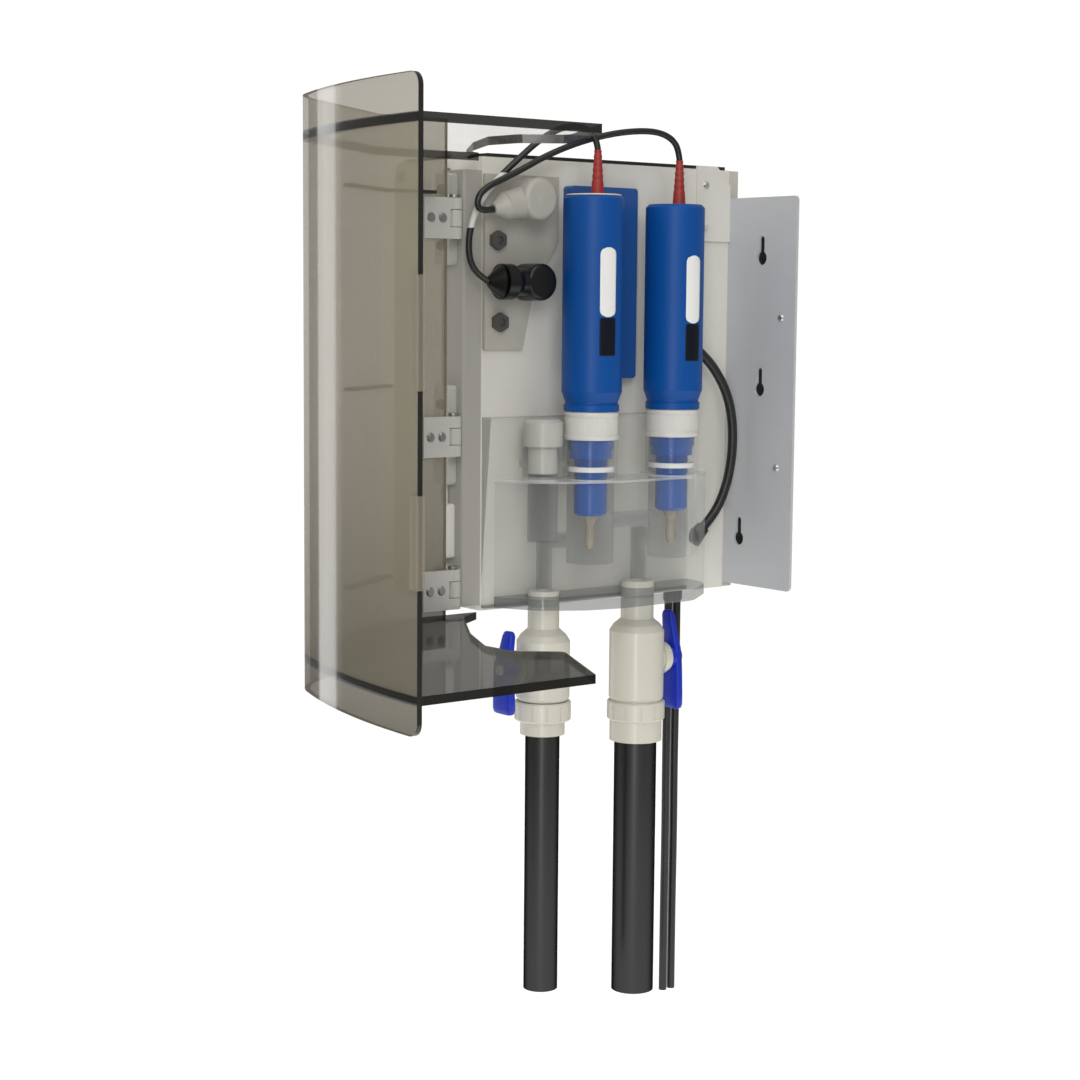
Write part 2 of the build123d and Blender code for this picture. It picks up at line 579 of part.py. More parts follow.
def valve_pipe(v):
    """The pipe: full size below the tail piece, and stepped down a little inside it."""
    r = v["pipe_r"]
    end = v["body_bottom"] - v["tail"]
    socket = v["body_bottom"] - SOCKET_FLOOR
    pipe = post(valve_x, v["y"], v["pipe_bottom"], end, r)
    pipe += post(valve_x, v["y"], end, socket, r - SPIGOT_STEP)
    return pipe - post(valve_x, v["y"], v["pipe_bottom"] - 1, socket + 1, r - PIPE_WALL)


def ball_valve(tag, v):
    """One quarter-turn valve with its ball, seats, stem, handle and pipe."""
    x, y, ball_z = valve_x, v["y"], v["ball_z"]
    body_r = max(chamber_r + BODY_WALL, collar_radius(v) + 0.8)
    keep("valve_body_" + tag, valve_body(v, body_r))
    ball = Pos(x, y, ball_z) * Sphere(BALL_R)
    ball -= post(x, y, ball_z - 2 * BALL_R, ball_z + 2 * BALL_R, BALL_BORE_R)
    ball -= along(v, stem_root, BALL_R + 1, BALL_R)
    keep("valve_ball_" + tag, ball)
    seats = []
    for z in (ball_z - BALL_R - SEAT_SPACE, ball_z + BALL_R - SEAT_T + SEAT_SPACE):
        ring = post(x, y, z, z + SEAT_T, chamber_r - 0.4) - post(x, y, z - 1, z + 4, 7.6)
        seats.append(ring - Pos(x, y, ball_z) * Sphere(BALL_R + PIN_RUNNING))
    lever = extrude(make_face(lever_outline(v)), LEVER_T, dir=(0, v["side"], 0))
    lever = Pos(0, y + v["side"] * (lever_far - LEVER_T), 0) * lever
    lever = fillet(lever.edges().filter_by(Axis.Y), 3.0)
    handle = along(v, bonnet_end + 0.7, stem_end, 8.0) + lever
    handle -= along(v, bonnet_end, stem_end, STEM_PIN_R + PIN_RUNNING)
    handle -= along(v, stem_end - 1, lever_far + 1, SCREW_R + PIN_RUNNING)
    keep("valve_handle_" + tag, handle)
    stem = along(v, stem_root, stem_end, STEM_PIN_R) + along(v, stem_end, lever_far, SCREW_R)
    head = along(v, lever_far, lever_far + 2, SCREW_HEAD_R, SCREW_HEAD_R - 0.6)
    head -= along(v, lever_far + 1, lever_far + 3, 1.4)
    keep("valve_stem_" + tag, stem + head)
    keep(tag + "_pipe", valve_pipe(v))
    tail, nut = valve_tail(v, body_r)
    return tail, nut, seats


def ball_valves():
    """Both valves, with their tails, union nuts and seats as groups."""
    sets = [ball_valve(tag, sizes) for tag, sizes in VALVES.items()]
    keep("valve_tails", Compound([tail for tail, nut, seats in sets]))
    keep("valve_union_nuts", Compound([nut for tail, nut, seats in sets]))
    keep("valve_seats", Compound([seat for tail, nut, seats in sets for seat in seats]))


# ---- smoked cover ----
def cover_path(offset, start_y, facet, full=True):
    """The cover's plan line, offset out from its inner face: side, fold, facet, corner, front."""
    x = cover_side_x - offset
    edges = [Line((x, start_y), (x, cover_fold_y))] if start_y > cover_fold_y else []
    fold = JernArc((x, cover_fold_y), (0, -1), COVER_FOLD[0] + offset, COVER_FOLD[1])
    straight = Line(fold @ 1, fold @ 1 + (fold % 1) * facet)
    edges += [fold, straight]
    if full:
        corner = JernArc(straight @ 1, straight % 1, COVER_CORNER[0] + offset, COVER_CORNER[1])
        front = JernArc(corner @ 1, corner % 1, COVER_FRONT[0] + offset, COVER_FRONT[1])
        edges += [corner, front]
    return edges


def band(offset_in, offset_out, start_y, facet, full):
    """The plan area between two offsets of the cover's line."""
    a = cover_path(offset_in, start_y, facet, full)
    b = cover_path(offset_out, start_y, facet, full)
    caps = [Line(a[0] @ 0, b[0] @ 0), Line(a[-1] @ 1, b[-1] @ 1)]
    return make_face(Curve() + a + b + caps)


def rivet_spots():
    """Centres of the rivets that hold the cover's hinge straps, y and z."""
    return [(hinge_y - reach, z) for z in hinge_levels for reach in (11.5, 20.0)]


def knuckle_spans(level):
    """The two cover knuckles of one hinge, as z ranges either side of the fixed knuckle."""
    near = KNUCKLE_FIXED / 2 + KNUCKLE_GAP
    far = near + KNUCKLE_MOVING
    return ((level - far, level - near), (level + near, level + far))


def cover():
    """Folded smoked sheet, two horizontal plates, ribs, edge strips and hinge straps."""
    area = band(0, COVER_SHEET_T, cover_start_y, COVER_FACET, True)
    sheet = Pos(0, 0, cover_z[0]) * extrude(area, cover_z[1] - cover_z[0])
    free = sheet.edges().filter_by(Axis.Y).group_by(Axis.X)[-1]
    sheet = fillet(free, COVER_EDGE_R)
    for y, z in rivet_spots():
        sheet -= rod((-5, y, z), (5, y, z), SCREW_R)
    keep("cover_sheet", sheet)
    line = cover_path(0, cover_start_y, COVER_FACET)
    cut = FilletPolyline(*[(x, hinge_y - front) for x, front in CUTOUT], radius=CUTOUT_R)
    ends = [Line(line[-1] @ 1, cut @ 0), Line(cut @ 1, line[0] @ 0)]
    plan = make_face(Curve() + line + [cut] + ends)
    for name, level in zip(("cover_bottom_plate", "cover_top_plate"), plate_levels):
        keep(name, Pos(0, 0, level) * extrude(plan, COVER_PLATE_T))
    ribs = []
    for z, start in ribs_at:
        area = band(-RIB_WIDTH, 0, start, 50.0, False)
        ribs.append(Pos(0, 0, z - RIB_T / 2) * extrude(area, RIB_T))
    keep("cover_ribs", Compound(ribs))
    edge = line[-1] @ 1
    strips = []
    for low, high in STRIP_SPANS:
        strip = block((edge.X - 5, edge.X + 1.6), (edge.Y - COVER_SHEET_T - 1.2, edge.Y + 1.2),
                      (low, high))
        strip = fillet(strip.edges().filter_by(Axis.Z).group_by(Axis.X)[-1], 1.5)
        strips.append(strip - sheet)
    keep("cover_edge_strips", Compound(strips))


def hinges():
    """Fixed blocks on the hinge post, straps on the cover, pins, screws and rivets."""
    hx, hy = 0.0, hinge_y
    blocks = []
    pins = []
    straps = []
    reach = KNUCKLE_FIXED / 2 + KNUCKLE_GAP + KNUCKLE_MOVING
    for level, (low, high) in zip(hinge_levels, block_spans):
        base = block((-22, -6.5), (pillar_front - BLOCK_T, pillar_front), (low, high))
        base = fillet(base.edges().filter_by(Axis.Y), 2.5)
        fixed = (level - KNUCKLE_FIXED / 2, level + KNUCKLE_FIXED / 2)
        base += block((-8, hx), (hy - 3, pillar_front - 1), fixed)
        base += post(hx, hy, *fixed, KNUCKLE_R)
        base -= post(hx, hy, fixed[0] - 1, fixed[1] + 1, PIN_R)
        for cx, cz in block_screws():
            if low < cz < high:
                base -= rod((cx, pillar_front - BLOCK_T - 1, cz), (cx, pillar_front + 1, cz),
                            SCREW_R)
        blocks.append(base)
        pin = post(hx, hy, level - reach, level + reach, PIN_R)
        pin += post(hx, hy, level + reach + 0.3, level + reach + 2, PIN_R + 1.2)
        pins.append(pin + post(hx, hy, level + reach, level + reach + 0.3, PIN_R))
        span = (level - reach, level + reach)
        leaf_x = (cover_side_x, cover_side_x + STRAP_T)
        strap = block(leaf_x, (hy - 25, hy - KNUCKLE_R - 0.8), span)
        for knuckle in knuckle_spans(level):
            strap += block(leaf_x, (hy - KNUCKLE_R - 1, hy), knuckle)
            strap += post(hx, hy, *knuckle, KNUCKLE_R)
            bore = PIN_R + PIN_RUNNING
            strap -= post(hx, hy, knuckle[0] - 1, knuckle[1] + 1, bore)
        for y, z in rivet_spots():
            if abs(z - level) < 1:
                strap -= rod((0, y, z), (6, y, z), SCREW_R)
        straps.append(strap)
    keep("hinge_blocks", Compound(blocks))
    keep("hinge_pins", Compound(pins))
    keep("cover_hinge_straps", Compound(straps))
    outer = cover_side_x - COVER_SHEET_T
    inner = cover_side_x + STRAP_T
    rivets = []
    for y, z in rivet_spots():
        rivet = rod((outer - RIVET_T, y, z), (outer, y, z), 2.2, 3.0)
        rivet += rod((outer, y, z), (inner, y, z), SCREW_R)
        rivets.append(rivet + rod((inner, y, z), (inner + RIVET_T, y, z), 3.0, 2.2))
    keep("cover_strap_rivets", Compound(rivets))
    low, high = block_spans[0][1] + 4, block_spans[1][0] - 12
    switch = block((-21, -8), (pillar_front - 7, pillar_front), (low, high))
    switch = fillet(switch.edges().filter_by(Axis.Y), 2.0)
    keep("cover_switch", switch + post(-14.5, pillar_front - 2, high, high + 12, 1.2))


def block_screws():
    """Centres of the hinge block screws, x and z."""
    low, middle, high = block_spans
    levels = (low[0] + 4, low[1] - 6, middle[0] + 22.5, middle[1] - 12, high[0] + 12, high[1] - 10)
    return [(-14.0, z) for z in levels]


wall_bracket()
housing()
internals()
connector_panel()
flow_cell()
leads()
probes()
ball_valves()
cover()
hinges()

os.makedirs("parts", exist_ok=True)
datum = Pos(-KEYHOLES[0][0], 0, -(KEYHOLES[0][1] + KEYHOLES[1][1]) / 2)
for name, shape in nodes.items():
    export_step(datum * shape, "parts/" + name + ".step")
print(len(nodes), "nodes")
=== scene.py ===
import math

import bpy
import numpy as np
from mathutils import Matrix, Vector


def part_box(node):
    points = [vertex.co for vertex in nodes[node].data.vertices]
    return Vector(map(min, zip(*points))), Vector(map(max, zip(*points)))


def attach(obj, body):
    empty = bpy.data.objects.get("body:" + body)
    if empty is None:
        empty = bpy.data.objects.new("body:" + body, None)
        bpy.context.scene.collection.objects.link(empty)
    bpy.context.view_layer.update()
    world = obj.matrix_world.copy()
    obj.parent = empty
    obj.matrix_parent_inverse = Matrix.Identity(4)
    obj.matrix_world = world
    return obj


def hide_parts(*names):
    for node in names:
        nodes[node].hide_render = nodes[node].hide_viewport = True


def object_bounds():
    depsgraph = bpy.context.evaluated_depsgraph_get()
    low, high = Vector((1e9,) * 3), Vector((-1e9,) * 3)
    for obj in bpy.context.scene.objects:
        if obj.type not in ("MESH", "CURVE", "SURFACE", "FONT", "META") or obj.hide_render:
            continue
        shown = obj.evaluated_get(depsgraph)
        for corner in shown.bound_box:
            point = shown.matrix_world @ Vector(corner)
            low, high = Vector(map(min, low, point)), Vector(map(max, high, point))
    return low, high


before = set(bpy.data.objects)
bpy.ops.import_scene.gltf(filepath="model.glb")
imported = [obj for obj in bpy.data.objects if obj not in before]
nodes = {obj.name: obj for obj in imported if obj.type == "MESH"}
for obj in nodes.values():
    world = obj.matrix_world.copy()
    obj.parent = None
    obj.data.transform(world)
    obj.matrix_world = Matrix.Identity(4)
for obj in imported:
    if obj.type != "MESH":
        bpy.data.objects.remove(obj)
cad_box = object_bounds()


# ---------------------------------------------------------------------------
# Camera and light. The station hangs on a wall and is seen from its right front. Soft lamps
# stand front left, overhead and beside the viewer, with one tall strip that gives the pipes
# their stripe, and another at the left that lights the cover's edge.
# ---------------------------------------------------------------------------
CAMERA_PLACE = Vector((1.05084, -1.00955, 0.01393))
CAMERA_AZIMUTH = math.radians(52.187)
CAMERA_DIP = math.radians(6.326)
CAMERA_ROLL = math.radians(0.4955)
CAMERA_LENS = 71.88
SENSOR_WIDTH = 36.0
NEAREST_SEEN = 0.05

forward = Vector((-math.sin(CAMERA_AZIMUTH) * math.cos(CAMERA_DIP),
                  math.cos(CAMERA_AZIMUTH) * math.cos(CAMERA_DIP), -math.sin(CAMERA_DIP)))
level = Vector((math.cos(CAMERA_AZIMUTH), math.sin(CAMERA_AZIMUTH), 0))
right = level * math.cos(CAMERA_ROLL) + level.cross(forward) * math.sin(CAMERA_ROLL)
camera = bpy.data.objects.new("camera", bpy.data.cameras.new("camera"))
bpy.context.collection.objects.link(camera)
camera.data.lens = CAMERA_LENS
camera.data.sensor_width = SENSOR_WIDTH
camera.data.clip_start = NEAREST_SEEN
camera.matrix_world = Matrix.Translation(CAMERA_PLACE) @ Matrix(
    (right, right.cross(forward), -forward)).transposed().to_4x4()
bpy.context.scene.camera = camera


def soft_light(name, place, aim, size, watts):
    """An area light of size (width, height) at place that faces aim."""
    light = bpy.data.lights.new(name, "AREA")
    light.shape = "RECTANGLE"
    light.size, light.size_y = size
    light.energy = watts
    lamp = bpy.data.objects.new(name, light)
    bpy.context.collection.objects.link(lamp)
    turn = (Vector(aim) - Vector(place)).to_track_quat("-Z", "Y")
    lamp.matrix_world = Matrix.Translation(Vector(place)) @ turn.to_matrix().to_4x4()


LIGHT_AIM = (0.0, -0.15, -0.05)
soft_light("key_light", (-0.1, -1.9, 0.8), LIGHT_AIM, (0.9, 0.9), 5)
soft_light("top_light", (0.6, -0.5, 1.7), LIGHT_AIM, (1.0, 1.0), 8)
soft_light("front_light", (1.40, -0.90, 0.8), (0, -0.1, 0.1), (0.7, 0.7), 8)
soft_light("strip_light", (1.25, -1.30, -0.1), LIGHT_AIM, (0.24, 1.8), 10)
soft_light("rim_light", (-1.62, -0.55, 0.0), LIGHT_AIM, (0.25, 1.8), 3.5)

# The room is bright and even behind the object, and dimmer where its light falls on it. That
# light is weakest below the direction whose height is ROOM_FOOT and strongest overhead.
BACKDROP = 1.05
ROOM_LOW, ROOM_HIGH = 0.18, 0.50
ROOM_FOOT = -0.6
ROOM_TINT = (1.0, 0.985, 0.955, 1)
world = bpy.data.worlds.new("studio")
bpy.context.scene.world = world
world.use_nodes = True
tree = world.node_tree
direction = tree.nodes.new("ShaderNodeTexCoord")
axes = tree.nodes.new("ShaderNodeSeparateXYZ")
tree.links.new(direction.outputs["Generated"], axes.inputs["Vector"])
rise = tree.nodes.new("ShaderNodeMapRange")
tree.links.new(axes.outputs["Z"], rise.inputs["Value"])
rise.inputs["From Min"].default_value = ROOM_FOOT
rise.inputs["To Min"].default_value = ROOM_LOW
rise.inputs["To Max"].default_value = ROOM_HIGH
seen = tree.nodes.new("ShaderNodeLightPath")
level_mix = tree.nodes.new("ShaderNodeMix")
tree.links.new(seen.outputs["Is Camera Ray"], level_mix.inputs["Factor"])
tree.links.new(rise.outputs["Result"], level_mix.inputs["A"])
level_mix.inputs["B"].default_value = BACKDROP
background = tree.nodes["Background"]
background.inputs["Color"].default_value = ROOM_TINT
tree.links.new(level_mix.outputs["Result"], background.inputs["Strength"])
bpy.context.scene.view_settings.view_transform = "Standard"

# The floor is a plain pale sheet, a little below the cut ends of the pipes. Its glow keeps it
# as light as the room behind.
FLOOR_DROP = 0.03
FLOOR_HALF = 0.8
FLOOR_GLOW = 0.6
floor_z = cad_box[0][2] - FLOOR_DROP
floor_mesh = bpy.data.meshes.new("floor")
floor_mesh.from_pydata([(x * FLOOR_HALF, y * FLOOR_HALF, floor_z) for x, y in
                        ((-1, -1), (1, -1), (1, 1), (-1, 1))], [], [(0, 1, 2, 3)])
floor = bpy.data.objects.new("floor", floor_mesh)
bpy.context.collection.objects.link(floor)
floor_paint = bpy.data.materials.new("pale_floor")
floor_paint.use_nodes = True
floor_shader = floor_paint.node_tree.nodes["Principled BSDF"]
floor_shader.inputs["Base Color"].default_value = (0.93, 0.93, 0.93, 1)
floor_shader.inputs["Roughness"].default_value = 0.9
floor_shader.inputs["Emission Color"].default_value = (1, 1, 1, 1)
floor_shader.inputs["Emission Strength"].default_value = FLOOR_GLOW
floor_mesh.materials.append(floor_paint)


# ---------------------------------------------------------------------------
# Wall bracket. A 2 mm steel carrier plate and a wall flange with three keyholes, powder
# coated light grey, with a stiffening tab and rivets. Black foam seals it to the wall.
# ---------------------------------------------------------------------------
def node_group(name, inputs, outputs):
    """A new shader node group with these inputs and outputs, and its two end nodes."""
    group = bpy.data.node_groups.new(name, "ShaderNodeTree")
    for label, kind, value in inputs:
        socket = group.interface.new_socket(name=label, in_out="INPUT", socket_type=kind)
        socket.default_value = value
    for label, kind in outputs:
        group.interface.new_socket(name=label, in_out="OUTPUT", socket_type=kind)
    return group, group.nodes.new("NodeGroupInput"), group.nodes.new("NodeGroupOutput")


def math_node(tree, operation, a, b):
    """A Math node whose inputs are numbers or sockets."""
    node = tree.nodes.new("ShaderNodeMath")
    node.operation = operation
    for socket, value in zip(node.inputs, (a, b)):
        if isinstance(value, bpy.types.NodeSocket):
            tree.links.new(value, socket)
        else:
            socket.default_value = value
    return node.outputs[0]


GRAIN_DEPTH = 0.0004
PATCH_SCALE = 22.0
BLOTCH_SCALE = 14.0
SPECK_SCALE = 650.0


def grain_group():
    """Moulding or coating grain: noise on Object coordinates gives a bump, and patchy roughness.

    Roughness is its own value plus the spread times broad noise less a half."""
    group, start, end = node_group(
        "surface_grain",
        [("Grain Scale", "NodeSocketFloat", 900.0), ("Grain Height", "NodeSocketFloat", 0.1),
         ("Roughness", "NodeSocketFloat", 0.5), ("Roughness Spread", "NodeSocketFloat", 0.1)],
        [("Normal", "NodeSocketVector"), ("Roughness", "NodeSocketFloat")])
    place = group.nodes.new("ShaderNodeTexCoord")
    fine = group.nodes.new("ShaderNodeTexNoise")
    fine.inputs["Detail"].default_value = 3.0
    group.links.new(place.outputs["Object"], fine.inputs["Vector"])
    group.links.new(start.outputs["Grain Scale"], fine.inputs["Scale"])
    bump = group.nodes.new("ShaderNodeBump")
    bump.inputs["Distance"].default_value = GRAIN_DEPTH
    group.links.new(start.outputs["Grain Height"], bump.inputs["Strength"])
    group.links.new(fine.outputs["Fac"], bump.inputs["Height"])
    group.links.new(bump.outputs["Normal"], end.inputs["Normal"])
    broad = group.nodes.new("ShaderNodeTexNoise")
    broad.inputs["Scale"].default_value = PATCH_SCALE
    broad.inputs["Detail"].default_value = 4.0
    group.links.new(place.outputs["Object"], broad.inputs["Vector"])
    spread = math_node(group, "MULTIPLY", math_node(group, "SUBTRACT", broad.outputs["Fac"], 0.5),
                       start.outputs["Roughness Spread"])
    group.links.new(math_node(group, "ADD", start.outputs["Roughness"], spread),
                    end.inputs["Roughness"])
    return group


def mottle_group():
    """Faint handling marks: soft blotches and fine specks darken the colour a little.

    The colour is scaled by one less the sum of each noise times its depth."""
    group, start, end = node_group(
        "handling_marks",
        [("Color", "NodeSocketColor", (0.8, 0.8, 0.8, 1)), ("Blotch", "NodeSocketFloat", 0.1),
         ("Speck", "NodeSocketFloat", 0.05)],
        [("Color", "NodeSocketColor")])
    place = group.nodes.new("ShaderNodeTexCoord")
    shade = None
    for scale, label in ((BLOTCH_SCALE, "Blotch"), (SPECK_SCALE, "Speck")):
        noise = group.nodes.new("ShaderNodeTexNoise")
        noise.inputs["Scale"].default_value = scale
        noise.inputs["Detail"].default_value = 4.0
        group.links.new(place.outputs["Object"], noise.inputs["Vector"])
        part = math_node(group, "MULTIPLY", noise.outputs["Fac"], start.outputs[label])
        shade = part if shade is None else math_node(group, "ADD", shade, part)
    keep = math_node(group, "SUBTRACT", 1.0, shade)
    mix = group.nodes.new("ShaderNodeVectorMath")
    mix.operation = "SCALE"
    group.links.new(start.outputs["Color"], mix.inputs[0])
    group.links.new(keep, mix.inputs["Scale"])
    group.links.new(mix.outputs["Vector"], end.inputs["Color"])
    return group


surface_grain = grain_group()
handling_marks = mottle_group()


def finish(name, colour, roughness, grain=(900.0, 0.15), spread=0.12, marks=(0.08, 0.05),
           **sockets):
    """A finish from its colour and roughness; other shader sockets are set as given.

    Grain is its scale and height, spread the patchiness of its roughness, and marks the depth
    of its blotches and of its specks."""
    material = bpy.data.materials.new(name)
    material.use_nodes = True
    tree = material.node_tree
    shader = tree.nodes["Principled BSDF"]
    texture = tree.nodes.new("ShaderNodeGroup")
    texture.node_tree = surface_grain
    for label, value in (("Grain Scale", grain[0]), ("Grain Height", grain[1]),
                         ("Roughness", roughness), ("Roughness Spread", spread)):
        texture.inputs[label].default_value = value
    tree.links.new(texture.outputs["Normal"], shader.inputs["Normal"])
    tree.links.new(texture.outputs["Roughness"], shader.inputs["Roughness"])
    tint = tree.nodes.new("ShaderNodeGroup")
    tint.node_tree = handling_marks
    tint.inputs["Color"].default_value = (*colour, 1)
    tint.inputs["Blotch"].default_value = marks[0]
    tint.inputs["Speck"].default_value = marks[1]
    tree.links.new(tint.outputs["Color"], shader.inputs["Base Color"])
    for label, value in sockets.items():
        shader.inputs[label.replace("_", " ")].default_value = value
    return material


def dress(material, *names):
    """Gives CAD nodes this finish in place of their plain one."""
    for name in names:
        node = nodes[name]
        if node.material_slots:
            for place in node.material_slots:
                place.material = material
        else:
            node.data.materials.append(material)


powder_coat = finish("powder_coat_grey", (0.54, 0.555, 0.575), 0.42, grain=(1400.0, 0.5),
                     spread=0.15, Metallic=0.15)
dress(powder_coat, "wall_flange")
carrier_coat = finish("powder_coat_pale", (0.68, 0.665, 0.605), 0.5, grain=(1400.0, 0.45))
dress(carrier_coat, "carrier_plate", "bracket_doubler")
rivet_metal = finish("bright_rivet", (0.80, 0.80, 0.80), 0.28, grain=(600.0, 0.1), Metallic=1.0)
dress(rivet_metal, "bracket_rivets")
foam = finish("black_cell_foam", (0.012, 0.012, 0.013), 0.9, grain=(1800.0, 1.0))
dress(foam, "wall_gasket", "housing_top_seal")


# ---------------------------------------------------------------------------
# Electronics housing. A moulded light grey box with a screwed front panel, a rear plate
# and a post for the hinges. Inside are a circuit board, a power supply and terminals.
# ---------------------------------------------------------------------------
moulded_grey = finish("moulded_light_grey", (0.53, 0.515, 0.465), 0.48, grain=(1100.0, 0.3))
dress(moulded_grey, "housing_shell", "housing_rear_plate")
# The front panel is a paler copy of the housing's grey: painted light that lifts the face the open
# cover shades.
front_panel_painted_light = finish("front_panel_painted_light_grey", (0.74, 0.72, 0.65), 0.48, grain=(1100.0, 0.3))
dress(front_panel_painted_light, "housing_front_panel")
post_plastic = finish("post_plastic", (0.38, 0.37, 0.33), 0.45, grain=(1100.0, 0.3))
dress(post_plastic, "hinge_post")
steel = finish("brushed_steel", (0.42, 0.42, 0.41), 0.35, grain=(700.0, 0.2), Metallic=1.0)
dress(steel, "housing_inner_mounts")
screw_zinc = finish("screw_zinc", (0.16, 0.155, 0.14), 0.4, grain=(700.0, 0.2), Metallic=0.8)
dress(screw_zinc, "case_screws")
solder_green = finish("solder_mask_green", (0.02, 0.16, 0.06), 0.4, grain=(500.0, 0.4),
                      marks=(0.2, 0.5))
dress(solder_green, "circuit_board")
supply_case = finish("supply_case", (0.55, 0.56, 0.57), 0.35, grain=(500.0, 0.2), Metallic=0.9)
dress(supply_case, "power_supply")


# ---------------------------------------------------------------------------
# Connector panel. A grey trapezoid plate held by two hexagon screws, with a white and a
# black elbow plug on it, and the flat blue preamplifier beside it.
# ---------------------------------------------------------------------------
panel_grey = finish("panel_grey", (0.44, 0.425, 0.37), 0.5, grain=(1000.0, 0.35))
dress(panel_grey, "connector_panel", "terminal_block")
white_plastic = finish("white_plastic", (0.78, 0.77, 0.72), 0.38, grain=(900.0, 0.15))
dress(white_plastic, "cover_switch", "valve_seats",
      "valve_ball_inlet", "valve_ball_outlet", "valve_stem_inlet", "valve_stem_outlet")
plug_white = finish("plug_white", (0.38, 0.37, 0.33), 0.42, grain=(900.0, 0.2))
dress(plug_white, "white_elbow_plug")
black_plastic = finish("black_plastic", (0.006, 0.006, 0.006), 0.3, grain=(900.0, 0.2),
                       Specular_IOR_Level=0.35)
dress(black_plastic, "black_elbow_plug", "flow_switch_fittings", "cable_glands")
module_blue = finish("module_blue", (0.018, 0.085, 0.30), 0.35, grain=(900.0, 0.2))
dress(module_blue, "preamplifier_module")


# ---------------------------------------------------------------------------
# Flow cell. One clear acrylic block with two necks for the probes, a plugged spare port
# and drilled channels, cemented to a clear back plate on the carrier plate.
# ---------------------------------------------------------------------------
def upright_part(tree, source):
    """The Z of an output of the Texture Coordinate node, such as Object or Normal."""
    place = tree.nodes.new("ShaderNodeTexCoord")
    axes = tree.nodes.new("ShaderNodeSeparateXYZ")
    tree.links.new(place.outputs[source], axes.inputs["Vector"])
    return axes.outputs["Z"]


def height_band(tree, height, bottom, top):
    """One where the object height lies between two levels, and zero elsewhere."""
    above = math_node(tree, "GREATER_THAN", height, bottom)
    return math_node(tree, "MULTIPLY", above, math_node(tree, "LESS_THAN", height, top))


def paint_over(tree, mask, colour):
    """Lays a colour over what feeds the shader's base colour, where the mask is one."""
    base = tree.nodes["Principled BSDF"].inputs["Base Color"]
    blend = tree.nodes.new("ShaderNodeMix")
    blend.data_type = "RGBA"
    tree.links.new(mask, blend.inputs["Factor"])
    tree.links.new(base.links[0].from_socket, blend.inputs["A"])
    blend.inputs["B"].default_value = (*colour, 1)
    tree.links.new(blend.outputs["Result"], base)


# FOOT_SHADE is painted shade at the foot of a clear block, and the rim band a painted highlight
# along its top.
FOOT_ALPHA = 0.45
RIM_HIGHLIGHT_ALPHA = 0.35
FOOT_SHADE = (0.16, 0.17, 0.17)


def clear_plastic(name, colour, face_alpha, side_alpha, side_blend, foot, rim):
    """A clear finish: almost see-through face on, and greyer where a face turns away.

    Alpha is face_alpha face on and rises to side_alpha as Layer Weight's Facing rises. Between
    the foot's two levels it is painted shade, dark and more opaque; between the rim's two levels
    it is a painted highlight, pale and more opaque, where the thick cut edges catch the light."""
    material = finish(name, colour, 0.06, grain=(60.0, 0.08), spread=0.03, marks=(0.03, 0.0))
    tree = material.node_tree
    shader = tree.nodes["Principled BSDF"]
    facing = tree.nodes.new("ShaderNodeLayerWeight")
    facing.inputs["Blend"].default_value = side_blend
    veil = math_node(tree, "MULTIPLY", facing.outputs["Facing"], side_alpha - face_alpha)
    veil = math_node(tree, "ADD", veil, face_alpha)
    height = upright_part(tree, "Object")
    foot_band = height_band(tree, height, *foot)
    rim_band = height_band(tree, height, *rim)
    for band, alpha in ((foot_band, FOOT_ALPHA), (rim_band, RIM_HIGHLIGHT_ALPHA)):
        veil = math_node(tree, "MAXIMUM", veil, math_node(tree, "MULTIPLY", band, alpha))
    tree.links.new(veil, shader.inputs["Alpha"])
    paint_over(tree, foot_band, FOOT_SHADE)
    return material


# The block's top face lies CELL_BLOCK_HEIGHT above its foot, with the necks above it.
CELL_BLOCK_HEIGHT = 0.081
CELL_FOOT_BAND = (-0.001, 0.007)
CELL_RIM_BAND = (CELL_BLOCK_HEIGHT - 0.0015, CELL_BLOCK_HEIGHT + 0.0005)
BACKPLATE_FOOT_BAND = (-0.001, 0.002)
BACKPLATE_RIM_BAND = (-0.001, 0.001)
low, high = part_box("flow_cell")
cell_clear = clear_plastic("clear_cell_acrylic", (0.72, 0.74, 0.72),
                           face_alpha=0.035, side_alpha=0.42, side_blend=0.17,
                           foot=[low[2] + level for level in CELL_FOOT_BAND],
                           rim=[low[2] + level for level in CELL_RIM_BAND])
low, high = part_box("flow_cell_backplate")
plate_clear = clear_plastic("clear_back_acrylic", (0.68, 0.70, 0.69),
                            face_alpha=0.06, side_alpha=0.30, side_blend=0.25,
                            foot=[low[2] + level for level in BACKPLATE_FOOT_BAND],
                            rim=[high[2] + level for level in BACKPLATE_RIM_BAND])
dress(cell_clear, "flow_cell")
dress(plate_clear, "flow_cell_backplate")
cap_grey = finish("port_cap_grey", (0.45, 0.445, 0.41), 0.35, grain=(900.0, 0.15))
dress(cap_grey, "spare_port_plug")


# ---------------------------------------------------------------------------
# Probes. Two blue turned bodies stand in the cell on blue stems with glass tips, each held
# by a white ribbed nut and fitted with a red rubber boot. A plain white and black label
# is stuck on each.
# ---------------------------------------------------------------------------
def piece(name, vertices, faces, material, body, slot_name):
    """A new smooth mesh piece at the origin with its finish, that moves with a CAD body."""
    mesh = bpy.data.meshes.new(name)
    mesh.from_pydata(vertices.tolist(), [], faces.tolist())
    mesh.materials.append(material)
    mesh.polygons.foreach_set("use_smooth", np.full(len(mesh.polygons), True))
    mesh.update()
    made = bpy.data.objects.new(name, mesh)
    bpy.context.collection.objects.link(made)
    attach(made, body)
    return made


